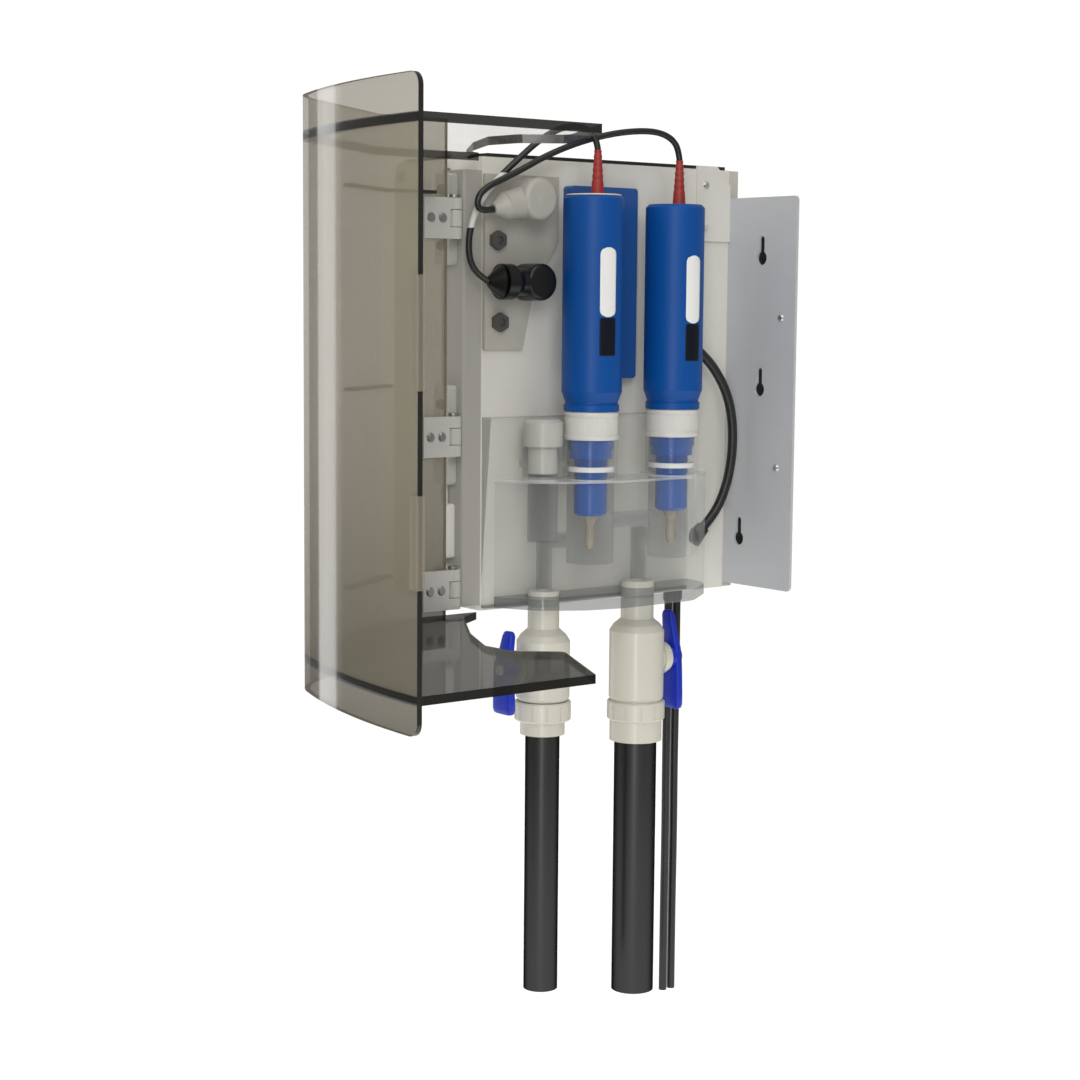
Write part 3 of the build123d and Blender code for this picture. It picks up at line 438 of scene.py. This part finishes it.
def grid_faces(rows, columns, wrap_rows=False, wrap_columns=False):
    """Quads of a rows by columns grid of points, row after row, closed round where asked."""
    last_row = rows if wrap_rows else rows - 1
    last_column = columns if wrap_columns else columns - 1
    r, c = np.meshgrid(np.arange(last_row), np.arange(last_column), indexing="ij")
    here = r * columns + c
    across = r * columns + (c + 1) % columns
    up = ((r + 1) % rows) * columns + c
    both = ((r + 1) % rows) * columns + (c + 1) % columns
    return np.stack([here, across, both, up], axis=-1).reshape(-1, 4)


def turned(profile, x, y, steps=96, ribs=0, rib_depth=0.0, rib_span=None):
    """Points and quads of (radius, z) profile turned about the upright line at x, y.

    The radius drops by rib_depth times a squared cosine of the angle, ribs times round,
    where z lies in rib_span. The profile runs upwards on the outside and is closed round."""
    radius, height = np.array(profile, float).T
    angle = np.linspace(0, 2 * math.pi, steps, endpoint=False)
    r = np.repeat(radius[:, None], steps, axis=1)
    z = np.repeat(height[:, None], steps, axis=1)
    if ribs:
        inside = (z > rib_span[0]) & (z < rib_span[1])
        r = r - inside * rib_depth * np.cos(angle * ribs / 2)[None, :] ** 2
    points = np.stack([x + r * np.cos(angle), y + r * np.sin(angle), z], axis=-1)
    return points.reshape(-1, 3), grid_faces(len(radius), steps, wrap_rows=True, wrap_columns=True)


def joined(parts):
    """Several sets of points and quads as one."""
    counts = np.cumsum([0] + [len(points) for points, faces in parts])
    return (np.concatenate([points for points, faces in parts]),
            np.concatenate([faces + start for (points, faces), start in zip(parts, counts)]))


def middle(name):
    """The upright centre line of a CAD node, x and y."""
    low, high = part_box(name)
    return (low[0] + high[0]) / 2, (low[1] + high[1]) / 2


probe_blue = finish("probe_blue", (0.001, 0.068, 0.30), 0.42, grain=(1200.0, 0.15),
                    marks=(0.12, 0.05), Specular_IOR_Level=0.25)
stem_blue = finish("stem_blue", (0.001, 0.070, 0.33), 0.3, grain=(900.0, 0.1),
                   Specular_IOR_Level=0.3)
dress(probe_blue, "probe_body_a", "probe_body_b")
dress(stem_blue, "probe_stem_a", "probe_stem_b")
boot_red = finish("boot_red_rubber", (0.30, 0.018, 0.012), 0.5, grain=(900.0, 0.3))
ring_clear = finish("seal_silicone", (0.75, 0.76, 0.74), 0.5, grain=(900.0, 0.2))
dress(ring_clear, "probe_seal_rings")
tip_glass = finish("amber_tip_glass", (0.42, 0.36, 0.27), 0.15, grain=(300.0, 0.05), Alpha=0.55)
dress(tip_glass, "probe_bulbs")

# The two nuts are turned rings with a fine-ribbed grip between two plain lips. The grip lies
# in from the lips, the upper lip is a little smaller, and both rims are bevelled.
nut_white = finish("nut_white", (0.64, 0.63, 0.59), 0.4, grain=(900.0, 0.15))
NUT_LIP = 0.0032
NUT_WALL = 0.0036
NUT_GRIP_INSET = 0.0005
NUT_LIP_INSET = 0.0003
NUT_FOOT_BEVEL = 0.0004
NUT_TOP_BEVEL = 0.0008
NUT_RIBS = 96
NUT_RIB_DEPTH = 0.0006
NUT_RIB_SLACK = 0.0001
NUT_GRIP_ROWS = 9
NUT_STEPS = 288
low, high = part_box("probe_nuts")
base, top = low[2], high[2]
outer = (high[0] - low[0]) / 2
inner = outer - NUT_WALL
upper = outer - NUT_LIP_INSET
grip_low, grip_high = base + NUT_LIP, top - NUT_LIP
grip = [(outer - NUT_GRIP_INSET, height)
        for height in np.linspace(grip_low, grip_high, NUT_GRIP_ROWS)]
nut_profile = ([(inner, base), (outer - NUT_FOOT_BEVEL, base), (outer, base + NUT_FOOT_BEVEL),
                (outer, grip_low - NUT_LIP_INSET)] + grip
               + [(upper, grip_high + NUT_LIP_INSET), (upper, top - NUT_TOP_BEVEL),
                  (upper - NUT_TOP_BEVEL, top), (inner, top)])
nut_parts = [turned(nut_profile, *middle("probe_stem_" + tag), steps=NUT_STEPS, ribs=NUT_RIBS,
                    rib_depth=NUT_RIB_DEPTH,
                    rib_span=(grip_low - NUT_RIB_SLACK, grip_high + NUT_RIB_SLACK))
             for tag in "ab"]
nuts = piece("ribbed_probe_nuts", *joined(nut_parts), nut_white, "station", "white_plastic")
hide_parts("probe_nuts")

# Each boot tapers evenly from its foot on the probe to the lead. Above a plain foot, cosine
# waves cut rings into it that let it bend. It stands behind the probe's centre line.
BOOT_RINGS = 7
BOOT_RING_DEPTH = 0.00028
BOOT_PLAIN_SHARE = 0.3
BOOT_LENGTH = 0.028
BOOT_FOOT_R = 0.0042
BOOT_TAPER = 0.0018
BOOT_HOLE_R = 0.0002
BOOT_SET_BACK = 0.003
BOOT_ROWS = 57
t = np.linspace(0, 1, BOOT_ROWS)
wave = 0.5 - 0.5 * np.cos(2 * math.pi * BOOT_RINGS * t)
radius = BOOT_FOOT_R - BOOT_TAPER * t - BOOT_RING_DEPTH * wave * (t > BOOT_PLAIN_SHARE)
boot_parts = []
for tag in "ab":
    x, y = middle("probe_body_" + tag)
    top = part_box("probe_body_" + tag)[1][2]
    shape = ([(BOOT_HOLE_R, top)] + list(zip(radius, top + BOOT_LENGTH * t))
             + [(BOOT_HOLE_R, top + BOOT_LENGTH)])
    boot_parts.append(turned(shape, x, y + BOOT_SET_BACK, steps=40))
boots = piece("ringed_probe_boots", *joined(boot_parts), boot_red, "station", "red_rubber")
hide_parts("probe_boots")

# A two-part label is stuck along the side of each body: a white patch with round ends over a
# short black one. Each entry gives the way it faces in degrees, and the heights of its top,
# of the line between its patches, and of its foot.
label_white = finish("label_white", (0.82, 0.82, 0.80), 0.35, grain=(500.0, 0.05))
label_black = finish("label_black", (0.004, 0.006, 0.012), 0.35, grain=(500.0, 0.05),
                     Specular_IOR_Level=0.2)
LABEL_STAND = 0.00018
LABEL_HALF_WIDTH = 0.0058
LABEL_GAP = 0.0004
WHITE_ROUNDING = 0.0045
BLACK_ROUNDING = 0.0008
LABELS = {"a": (-8.0, 0.0472, 0.0043, -0.0197), "b": (0.0, 0.0435, 0.0005, -0.0235)}


def label_patch(x, y, radius, facing, half_width, bottom, top, roundness):
    """A patch on an upright round body: a rounded oblong in arc length and height.

    Rows run up the patch. Each row's half width shrinks by a quarter circle at the two
    ends, over the length called roundness."""
    rows, columns = 33, 15
    height = np.linspace(bottom, top, rows)
    to_end = np.minimum(height - bottom, top - height)
    drop = np.clip(roundness - to_end, 0, roundness)
    width = half_width - roundness + np.sqrt(np.maximum(roundness ** 2 - drop ** 2, 0))
    across = np.linspace(-1, 1, columns)
    angle = facing + across[None, :] * width[:, None] / radius
    outer = [x + radius * np.cos(angle), y + radius * np.sin(angle),
             np.repeat(height[:, None], columns, axis=1)]
    return np.stack(outer, axis=-1).reshape(-1, 3), grid_faces(rows, columns)


for tag, (turn, label_top, label_middle, label_bottom) in LABELS.items():
    x, y = middle("probe_body_" + tag)
    low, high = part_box("probe_body_" + tag)
    radius = (high[0] - low[0]) / 2 + LABEL_STAND
    facing = math.radians(turn)
    white = label_patch(x, y, radius, facing, LABEL_HALF_WIDTH, label_middle, label_top,
                        WHITE_ROUNDING)
    label = piece("probe_label_" + tag, *white, label_white, "station", "white_plastic")
    black = label_patch(x, y, radius, facing, LABEL_HALF_WIDTH, label_bottom,
                        label_middle - LABEL_GAP, BLACK_ROUNDING)
    band = piece("probe_label_band_" + tag, *black, label_black, "station", "black_plastic")
    for film in (label, band):
        thickness = film.modifiers.new("film", "SOLIDIFY")
        thickness.thickness = LABEL_STAND
        thickness.offset = -1.0

# The front probe carries a thin cream collar on its top rim, sunk a little into it.
collar_cream = finish("collar_cream", (0.72, 0.62, 0.48), 0.45, grain=(700.0, 0.1))
COLLAR_FOOT_R, COLLAR_TOP_R = 0.0175, 0.0172
COLLAR_HOLE_R, COLLAR_HOLE_TOP_R = 0.0052, 0.0056
COLLAR_SINK, COLLAR_RISE = 0.0002, 0.0006
low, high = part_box("probe_body_a")
foot, top = high[2] - COLLAR_SINK, high[2] + COLLAR_RISE
collar = turned([(COLLAR_HOLE_R, foot), (COLLAR_FOOT_R, foot), (COLLAR_TOP_R, top),
                 (COLLAR_HOLE_TOP_R, top)], *middle("probe_body_a"))
piece("probe_collar_a", *collar, collar_cream, "station", "white_plastic")


# ---------------------------------------------------------------------------
# Leads. Thin black leads run from the boots to the elbow plugs and a thicker one from the
# cell to its elbow. Each is a soft jacketed cable, pushed into its fitting at both ends.
# ---------------------------------------------------------------------------
def cable(name, points, diameter, material, body):
    """A round cable whose centre line is one smooth spline of second degree near these points."""
    curve = bpy.data.curves.new(name, "CURVE")
    curve.dimensions = "3D"
    spline = curve.splines.new("NURBS")
    spline.points.add(len(points) - 1)
    spline.points.foreach_set("co", np.c_[np.array(points), np.ones(len(points))].ravel())
    spline.order_u = 3
    spline.use_endpoint_u = True
    curve.resolution_u = 10
    curve.bevel_depth = diameter / 2
    curve.bevel_resolution = 6
    curve.use_fill_caps = True
    curve.materials.append(material)
    made = bpy.data.objects.new(name, curve)
    bpy.context.collection.objects.link(made)
    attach(made, body)
    return made


# The leads, the cables and the cover are drawn from the carrier plate's outer face, the wall
# face and the wall flange's lower edge. ORIGIN, midway between the two upper keyholes, is the
# part's zero point.
ORIGIN = np.array([0.033, 0.0, 0.1765])
LEAD_DIAMETER = 0.004
SWITCH_LEAD_DIAMETER = 0.0064
LEAD_A = ((.0300, -.1487, .2840), (.0296, -.1498, .2910), (.0280, -.1540, .2960),
          (.0250, -.1610, .2985), (.0205, -.1715, .2970), (.0155, -.1840, .2890),
          (.0120, -.1955, .2785), (.0095, -.2070, .2680), (.0075, -.2175, .2570),
          (.0065, -.2255, .2450), (.0062, -.2296, .2330), (.0062, -.2306, .2220),
          (.0072, -.2296, .2130), (.0094, -.2258, .2062), (.0125, -.2198, .2020))
LEAD_B = ((.0300, -.0810, .2805), (.0300, -.0822, .2875), (.0300, -.0865, .2930),
          (.0302, -.0935, .2962), (.0304, -.1030, .2978), (.0300, -.1170, .2975),
          (.0265, -.1350, .2950), (.0215, -.1570, .2890), (.0170, -.1790, .2800),
          (.0150, -.1970, .2705), (.0140, -.2100, .2645), (.0136, -.2205, .2600),
          (.0134, -.2280, .2545), (.0133, -.2295, .2475), (.0133, -.2250, .2445),
          (.0132, -.2170, .2460))
SWITCH_LEAD = ((.0110, -.0385, .0400), (.0118, -.0315, .0465), (.0133, -.0255, .0560),
               (.0150, -.0210, .0690), (.0164, -.0186, .0840), (.0170, -.0180, .1000),
               (.0166, -.0192, .1160), (.0154, -.0233, .1310), (.0134, -.0305, .1440),
               (.0116, -.0385, .1535), (.0100, -.0470, .1605))

jacket = finish("cable_jacket_black", (0.010, 0.010, 0.010), 0.38, grain=(1500.0, 0.25))
lead_jacket = finish("lead_jacket", (0.010, 0.010, 0.010), 0.38, grain=(1500.0, 0.25))
# The first lead is painted pale grey over the stretch before it turns down.
PALE_STRETCH_Z = (0.058, 0.092)
PALE_STRETCH_GREY = (0.62, 0.62, 0.60)
tree = lead_jacket.node_tree
paint_over(tree, height_band(tree, upright_part(tree, "Object"), *PALE_STRETCH_Z), PALE_STRETCH_GREY)

for name, points, diameter, material in (
        ("probe_lead_a", LEAD_A, LEAD_DIAMETER, lead_jacket),
        ("probe_lead_b", LEAD_B, LEAD_DIAMETER, jacket),
        ("flow_switch_lead", SWITCH_LEAD, SWITCH_LEAD_DIAMETER, jacket)):
    lead = cable(name + "_cable", np.array(points) - ORIGIN, diameter, material, "station")
    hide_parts(name)


# ---------------------------------------------------------------------------
# Supply cables. Two thin black cables hang straight down from glands under the housing.
# They end at a bare cut, where the installer connects them.
# ---------------------------------------------------------------------------
CABLE_DIAMETER = 0.0055
CABLES = {"power_cable": (-0.014, -0.0462), "signal_cable": (-0.014, -0.0388)}
# Each level has its own small sway to the side, as a hanging cable is never quite straight.
CABLE_LEVELS = (-0.0115, -0.030, -0.066, -0.120, -0.175, -0.230, -0.285)
CABLE_SWAY = (0.0, 0.0, 0.00025, -0.0002, 0.0003, -0.0002, 0.0)
for name, (x, y) in CABLES.items():
    points = [(x + sway, y, z) for z, sway in zip(CABLE_LEVELS, CABLE_SWAY)]
    points = np.array(points) - ORIGIN
    hanging = cable("hanging_" + name, points, CABLE_DIAMETER, jacket, "station")
    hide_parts(name)


# ---------------------------------------------------------------------------
# Ball valves and pipes. Cream moulded bodies, union nuts and tail pieces with royal blue
# quarter-turn handles, on glossy black pressure pipe.
# ---------------------------------------------------------------------------
cream = finish("cream_pvc", (0.60, 0.58, 0.50), 0.32, grain=(900.0, 0.15), marks=(0.06, 0.03),
               Coat_Weight=0.15)
dress(cream, "valve_body_inlet", "valve_body_outlet", "valve_tails", "valve_union_nuts")
handle_blue = finish("handle_royal_blue", (0.010, 0.030, 0.42), 0.35, grain=(900.0, 0.12),
                     Specular_IOR_Level=0.3)

# Each handle is a hub on the valve's stem and a moulded lever that bows outwards. The lever's
# levels run upwards, each with its share of the full width, its distance out from the bonnet
# and its half thickness in millimetres. Each level is a rounded oblong: the cosine and sine
# of the angle, each to the power LEVER_SQUARENESS.
HUB_R = 0.008
HUB_HOLE_R = 0.0036
HUB_FOOT_BEVEL, HUB_TOP_BEVEL = 0.0006, 0.001
LEVER_SIDES = 28
LEVER_SQUARENESS = 0.5
LEVER_SHARP = math.radians(50)
for tag, side in (("inlet", -1), ("outlet", 1)):
    low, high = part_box("valve_handle_" + tag)
    x = (low[0] + high[0]) / 2
    half_width = (high[0] - low[0]) / 2
    near = low[1] if side > 0 else high[1]
    ball_low, ball_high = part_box("valve_ball_" + tag)
    stem_z = (ball_low[2] + ball_high[2]) / 2
    foot, top = low[2], high[2]
    levels = ((foot, 0.02, 6.7, 0.05), (foot, 0.80, 6.7, 2.2), (foot + 0.0008, 0.92, 6.7, 2.8),
              (foot + 0.0030, 1.00, 6.7, 3.1), (foot + 0.0100, 1.00, 6.7, 3.1),
              (stem_z - 0.008, 0.92, 6.8, 3.0), (stem_z, 0.86, 6.8, 3.0),
              (stem_z + 0.006, 0.78, 6.4, 3.0), ((top + stem_z) / 2, 0.62, 5.0, 2.7),
              (top - 0.0030, 0.50, 3.2, 2.5), (top - 0.0010, 0.42, 3.0, 2.0),
              (top, 0.30, 3.0, 1.2), (top, 0.02, 3.0, 0.05))
    angle = np.linspace(0, 2 * math.pi, LEVER_SIDES, endpoint=False)
    section_x = np.sign(np.cos(angle)) * np.abs(np.cos(angle)) ** LEVER_SQUARENESS
    section_y = np.sign(np.sin(angle)) * np.abs(np.sin(angle)) ** LEVER_SQUARENESS
    lever = np.concatenate([
        np.c_[x + half_width * share * section_x, near + (side * out + half * section_y) / 1000,
              np.full(LEVER_SIDES, z)] for z, share, out, half in levels])
    lever_faces = grid_faces(len(levels), LEVER_SIDES, wrap_rows=True, wrap_columns=True)
    reach = high[1] - low[1]
    hub, hub_faces = turned([(HUB_HOLE_R, 0), (HUB_R - HUB_FOOT_BEVEL, 0), (HUB_R, HUB_FOOT_BEVEL),
                             (HUB_R, reach - HUB_TOP_BEVEL), (HUB_R - HUB_TOP_BEVEL, reach),
                             (HUB_HOLE_R, reach)], 0, 0, steps=48)
    hub = np.c_[x + hub[:, 0], near + side * hub[:, 2], stem_z - side * hub[:, 1]]
    handle = piece("moulded_handle_" + tag, *joined([(lever, lever_faces), (hub, hub_faces)]),
                   handle_blue, tag + "_handle", "handle_blue")
    handle.data.set_sharp_from_angle(angle=LEVER_SHARP)
    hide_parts("valve_handle_" + tag)

# The pipe is extruded and shines dimly along its length.
pipe_black = finish("pipe_black", (0.052, 0.052, 0.052), 0.36, grain=(40.0, 0.03), spread=0.05,
                    marks=(0.1, 0.0), Metallic=1.0, Specular_Tint=(0.1, 0.1, 0.1, 1.0))
dress(pipe_black, "inlet_pipe", "outlet_pipe")


# ---------------------------------------------------------------------------
# Cover. A smoked acrylic sheet folded and curved round the compartment, with a plate across
# its top and bottom, thin ribs and clear strips on its free edge. White moulded straps and
# hinge blocks carry it on steel pins and rivets.
# ---------------------------------------------------------------------------
SMOKE = (0.335, 0.302, 0.218)
SMOKE_RIM = (0.012, 0.012, 0.010)
COVER_START = (0.002, -0.2435)
COVER_FLAT = 0.0435
COVER_FACET = 0.090
COVER_SHEET = 0.003
COVER_EDGE_R = 0.007
COVER_EDGE_ROWS = 12
COVER_SHARP = math.radians(40)
# The bends are each an inner radius and a turn in degrees. The stretches of the plan line come
# in order, each with its number of steps.
COVER_FOLD = (0.018, 35.0)
COVER_CORNER = (0.050, 36.0)
COVER_FRONT = (0.430, 19.0)
COVER_STRETCHES = {"flat": 6, "fold": 14, "facet": 8, "corner": 16, "front": 30}


def cover_line(offset):
    """The cover's plan line at an offset out from its inner face.

    It runs straight, turns through the fold, runs straight, then follows the corner and the
    wide front arc. Each arc's points lie at its radius plus offset from its own centre, and
    they crowd towards the free edge, where the sheet's corners are rounded."""
    heading = math.radians(-90)
    at = np.array([COVER_START[0] - offset, COVER_START[1]])
    rows = [at[None]]
    for kind, count in COVER_STRETCHES.items():
        if kind in ("flat", "facet"):
            run = COVER_FLAT if kind == "flat" else COVER_FACET
            t = np.linspace(0, 1, count + 1)[1:, None]
            rows.append(at + t * run * np.array([math.cos(heading), math.sin(heading)]))
        else:
            radius, turn = {"fold": COVER_FOLD, "corner": COVER_CORNER,
                            "front": COVER_FRONT}[kind]
            radius += offset
            centre = at + radius * np.array([-math.sin(heading), math.cos(heading)])
            share = np.linspace(0, 1, count + 1)[1:]
            if kind == "front":
                last = COVER_EDGE_R / (radius * math.radians(turn))
                quarter = np.linspace(0, math.pi / 2, COVER_EDGE_ROWS)[1:]
                crowd = 1 - last * (1 - np.sin(quarter))
                share = np.concatenate([share[share < 1 - last], [1 - last], crowd])
            angle = heading + share * math.radians(turn)
            rows.append(centre + radius * np.stack([np.sin(angle), -np.cos(angle)], axis=-1))
            heading = angle[-1]
        at = rows[-1][-1]
    return np.concatenate(rows) - ORIGIN[:2]


# The sheet's four long rows bound its outer face, top rim, inner face and bottom rim in turn.
# Its free corners are quarter circles: each drop is the radius less the root of the radius
# squared less the way into the corner squared.
inner, outer = cover_line(0), cover_line(COVER_SHEET)
step = np.linalg.norm(np.diff(outer, axis=0), axis=1)
to_edge = step.sum() - np.concatenate([[0], np.cumsum(step)])
rounding = np.clip(COVER_EDGE_R - to_edge, 0, COVER_EDGE_R)
drop = COVER_EDGE_R - np.sqrt(COVER_EDGE_R ** 2 - rounding ** 2)
low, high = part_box("cover_sheet")
rows = [np.c_[outer, low[2] + drop], np.c_[outer, high[2] - drop],
        np.c_[inner, high[2] - drop], np.c_[inner, low[2] + drop]]
columns = len(outer)
faces = grid_faces(len(rows), columns, wrap_rows=True)
ends = np.array([[0, columns, 2 * columns, 3 * columns],
                 [4 * columns - 1, 3 * columns - 1, 2 * columns - 1, columns - 1]])
smoked = finish("smoked_acrylic", SMOKE, 0.07, grain=(30.0, 0.05), spread=0.03,
                marks=(0.05, 0.0))
# It is darker and more opaque near its foot, as the cube of the depth below its top: painted
# shade, as light falls on it from above. It is black where a plate is bonded to it.
SMOKE_TOP, SMOKE_FOOT = 0.50, 0.74
SMOKE_FOOT_PAINTED_SHADE = -0.55
SMOKE_POWER = 3.0
SEAM_ALPHA = 0.75
tree = smoked.node_tree
shader = tree.nodes["Principled BSDF"]
height = upright_part(tree, "Object")
depth = math_node(tree, "DIVIDE", math_node(tree, "SUBTRACT", high[2], height), high[2] - low[2])
deep = math_node(tree, "POWER", depth, SMOKE_POWER)
tone = math_node(tree, "MULTIPLY", deep, SMOKE_FOOT - SMOKE_TOP)
tone = math_node(tree, "ADD", tone, SMOKE_TOP)
seam = None
for name in ("cover_top_plate", "cover_bottom_plate"):
    plate_low, plate_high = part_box(name)
    within = math_node(tree, "COMPARE", height, (plate_low[2] + plate_high[2]) / 2)
    within.node.inputs[2].default_value = (plate_high[2] - plate_low[2]) / 2
    seam = within if seam is None else math_node(tree, "ADD", seam, within)
# Painted shade: the base colour darkens towards the foot.
darker = tree.nodes.new("ShaderNodeVectorMath")
darker.operation = "SCALE"
tree.links.new(shader.inputs["Base Color"].links[0].from_socket, darker.inputs[0])
tree.links.new(math_node(tree, "ADD", math_node(tree, "MULTIPLY", deep, SMOKE_FOOT_PAINTED_SHADE), 1.0),
               darker.inputs["Scale"])
tree.links.new(darker.outputs["Vector"], shader.inputs["Base Color"])
paint_over(tree, seam, SMOKE_RIM)
seam_alpha = math_node(tree, "MULTIPLY", seam, SEAM_ALPHA)
tree.links.new(math_node(tree, "MAXIMUM", tone, seam_alpha), shader.inputs["Alpha"])
# The two rims and the two ends are polished cut faces, near black and opaque.
smoked_rim = finish("smoked_rim", SMOKE_RIM, 0.25, grain=(400.0, 0.1))
sheet = piece("smoked_cover_sheet", np.concatenate(rows), np.concatenate([faces, ends]), smoked,
              "cover", "smoked_acrylic")
sheet.data.materials.append(smoked_rim)
per_row = columns - 1
finish_index = np.zeros(len(sheet.data.polygons), int)
finish_index[per_row:2 * per_row] = 1
finish_index[3 * per_row:] = 1
sheet.data.polygons.foreach_set("material_index", finish_index)
sheet.data.polygons.foreach_set("use_smooth", finish_index == 0)
sheet.data.set_sharp_from_angle(angle=COVER_SHARP)
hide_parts("cover_sheet")

# The plates are cut from thicker sheet. Their cut faces look almost black from the side.
CUT_ALPHA = 0.97
CUT_STEEPNESS = 0.6


def plate_finish(name, colour, face_alpha, gloss):
    """Smoked sheet whose cut faces, where the normal lies level, are near black and opaque."""
    material = finish(name, colour, 0.07, grain=(30.0, 0.05), spread=0.03, marks=(0.05, 0.0),
                      Specular_IOR_Level=gloss)
    tree = material.node_tree
    shader = tree.nodes["Principled BSDF"]
    upright = math_node(tree, "ABSOLUTE", upright_part(tree, "Normal"), 0.0)
    cut_face = math_node(tree, "LESS_THAN", upright, CUT_STEEPNESS)
    paint_over(tree, cut_face, SMOKE_RIM)
    opaque = math_node(tree, "MULTIPLY", cut_face, CUT_ALPHA - face_alpha)
    tree.links.new(math_node(tree, "ADD", opaque, face_alpha), shader.inputs["Alpha"])
    return material


# The bottom plate is a darker, more opaque and less glossy copy of the top plate's smoke: painted
# shade, as light falls from above.
top_smoke = plate_finish("smoked_top_plate", (0.22, 0.205, 0.155), face_alpha=0.17, gloss=0.4)
dress(top_smoke, "cover_top_plate")
bottom_smoke_painted_shade = plate_finish("smoked_bottom_plate_painted_shade", (0.022, 0.020, 0.013), face_alpha=0.72,
                            gloss=0.08)
dress(bottom_smoke_painted_shade, "cover_bottom_plate")

rib_smoke = finish("rib_smoke", (0.02, 0.02, 0.018), 0.25, grain=(200.0, 0.05))
dress(rib_smoke, "cover_ribs")
strip_clear = finish("strip_clear", (0.36, 0.33, 0.25), 0.2, grain=(200.0, 0.1), Alpha=0.45)
dress(strip_clear, "cover_edge_strips")
hinge_white = finish("hinge_white", (0.52, 0.51, 0.47), 0.4, grain=(900.0, 0.2))
dress(hinge_white, "hinge_blocks", "cover_hinge_straps")
dress(steel, "hinge_pins", "cover_strap_rivets")
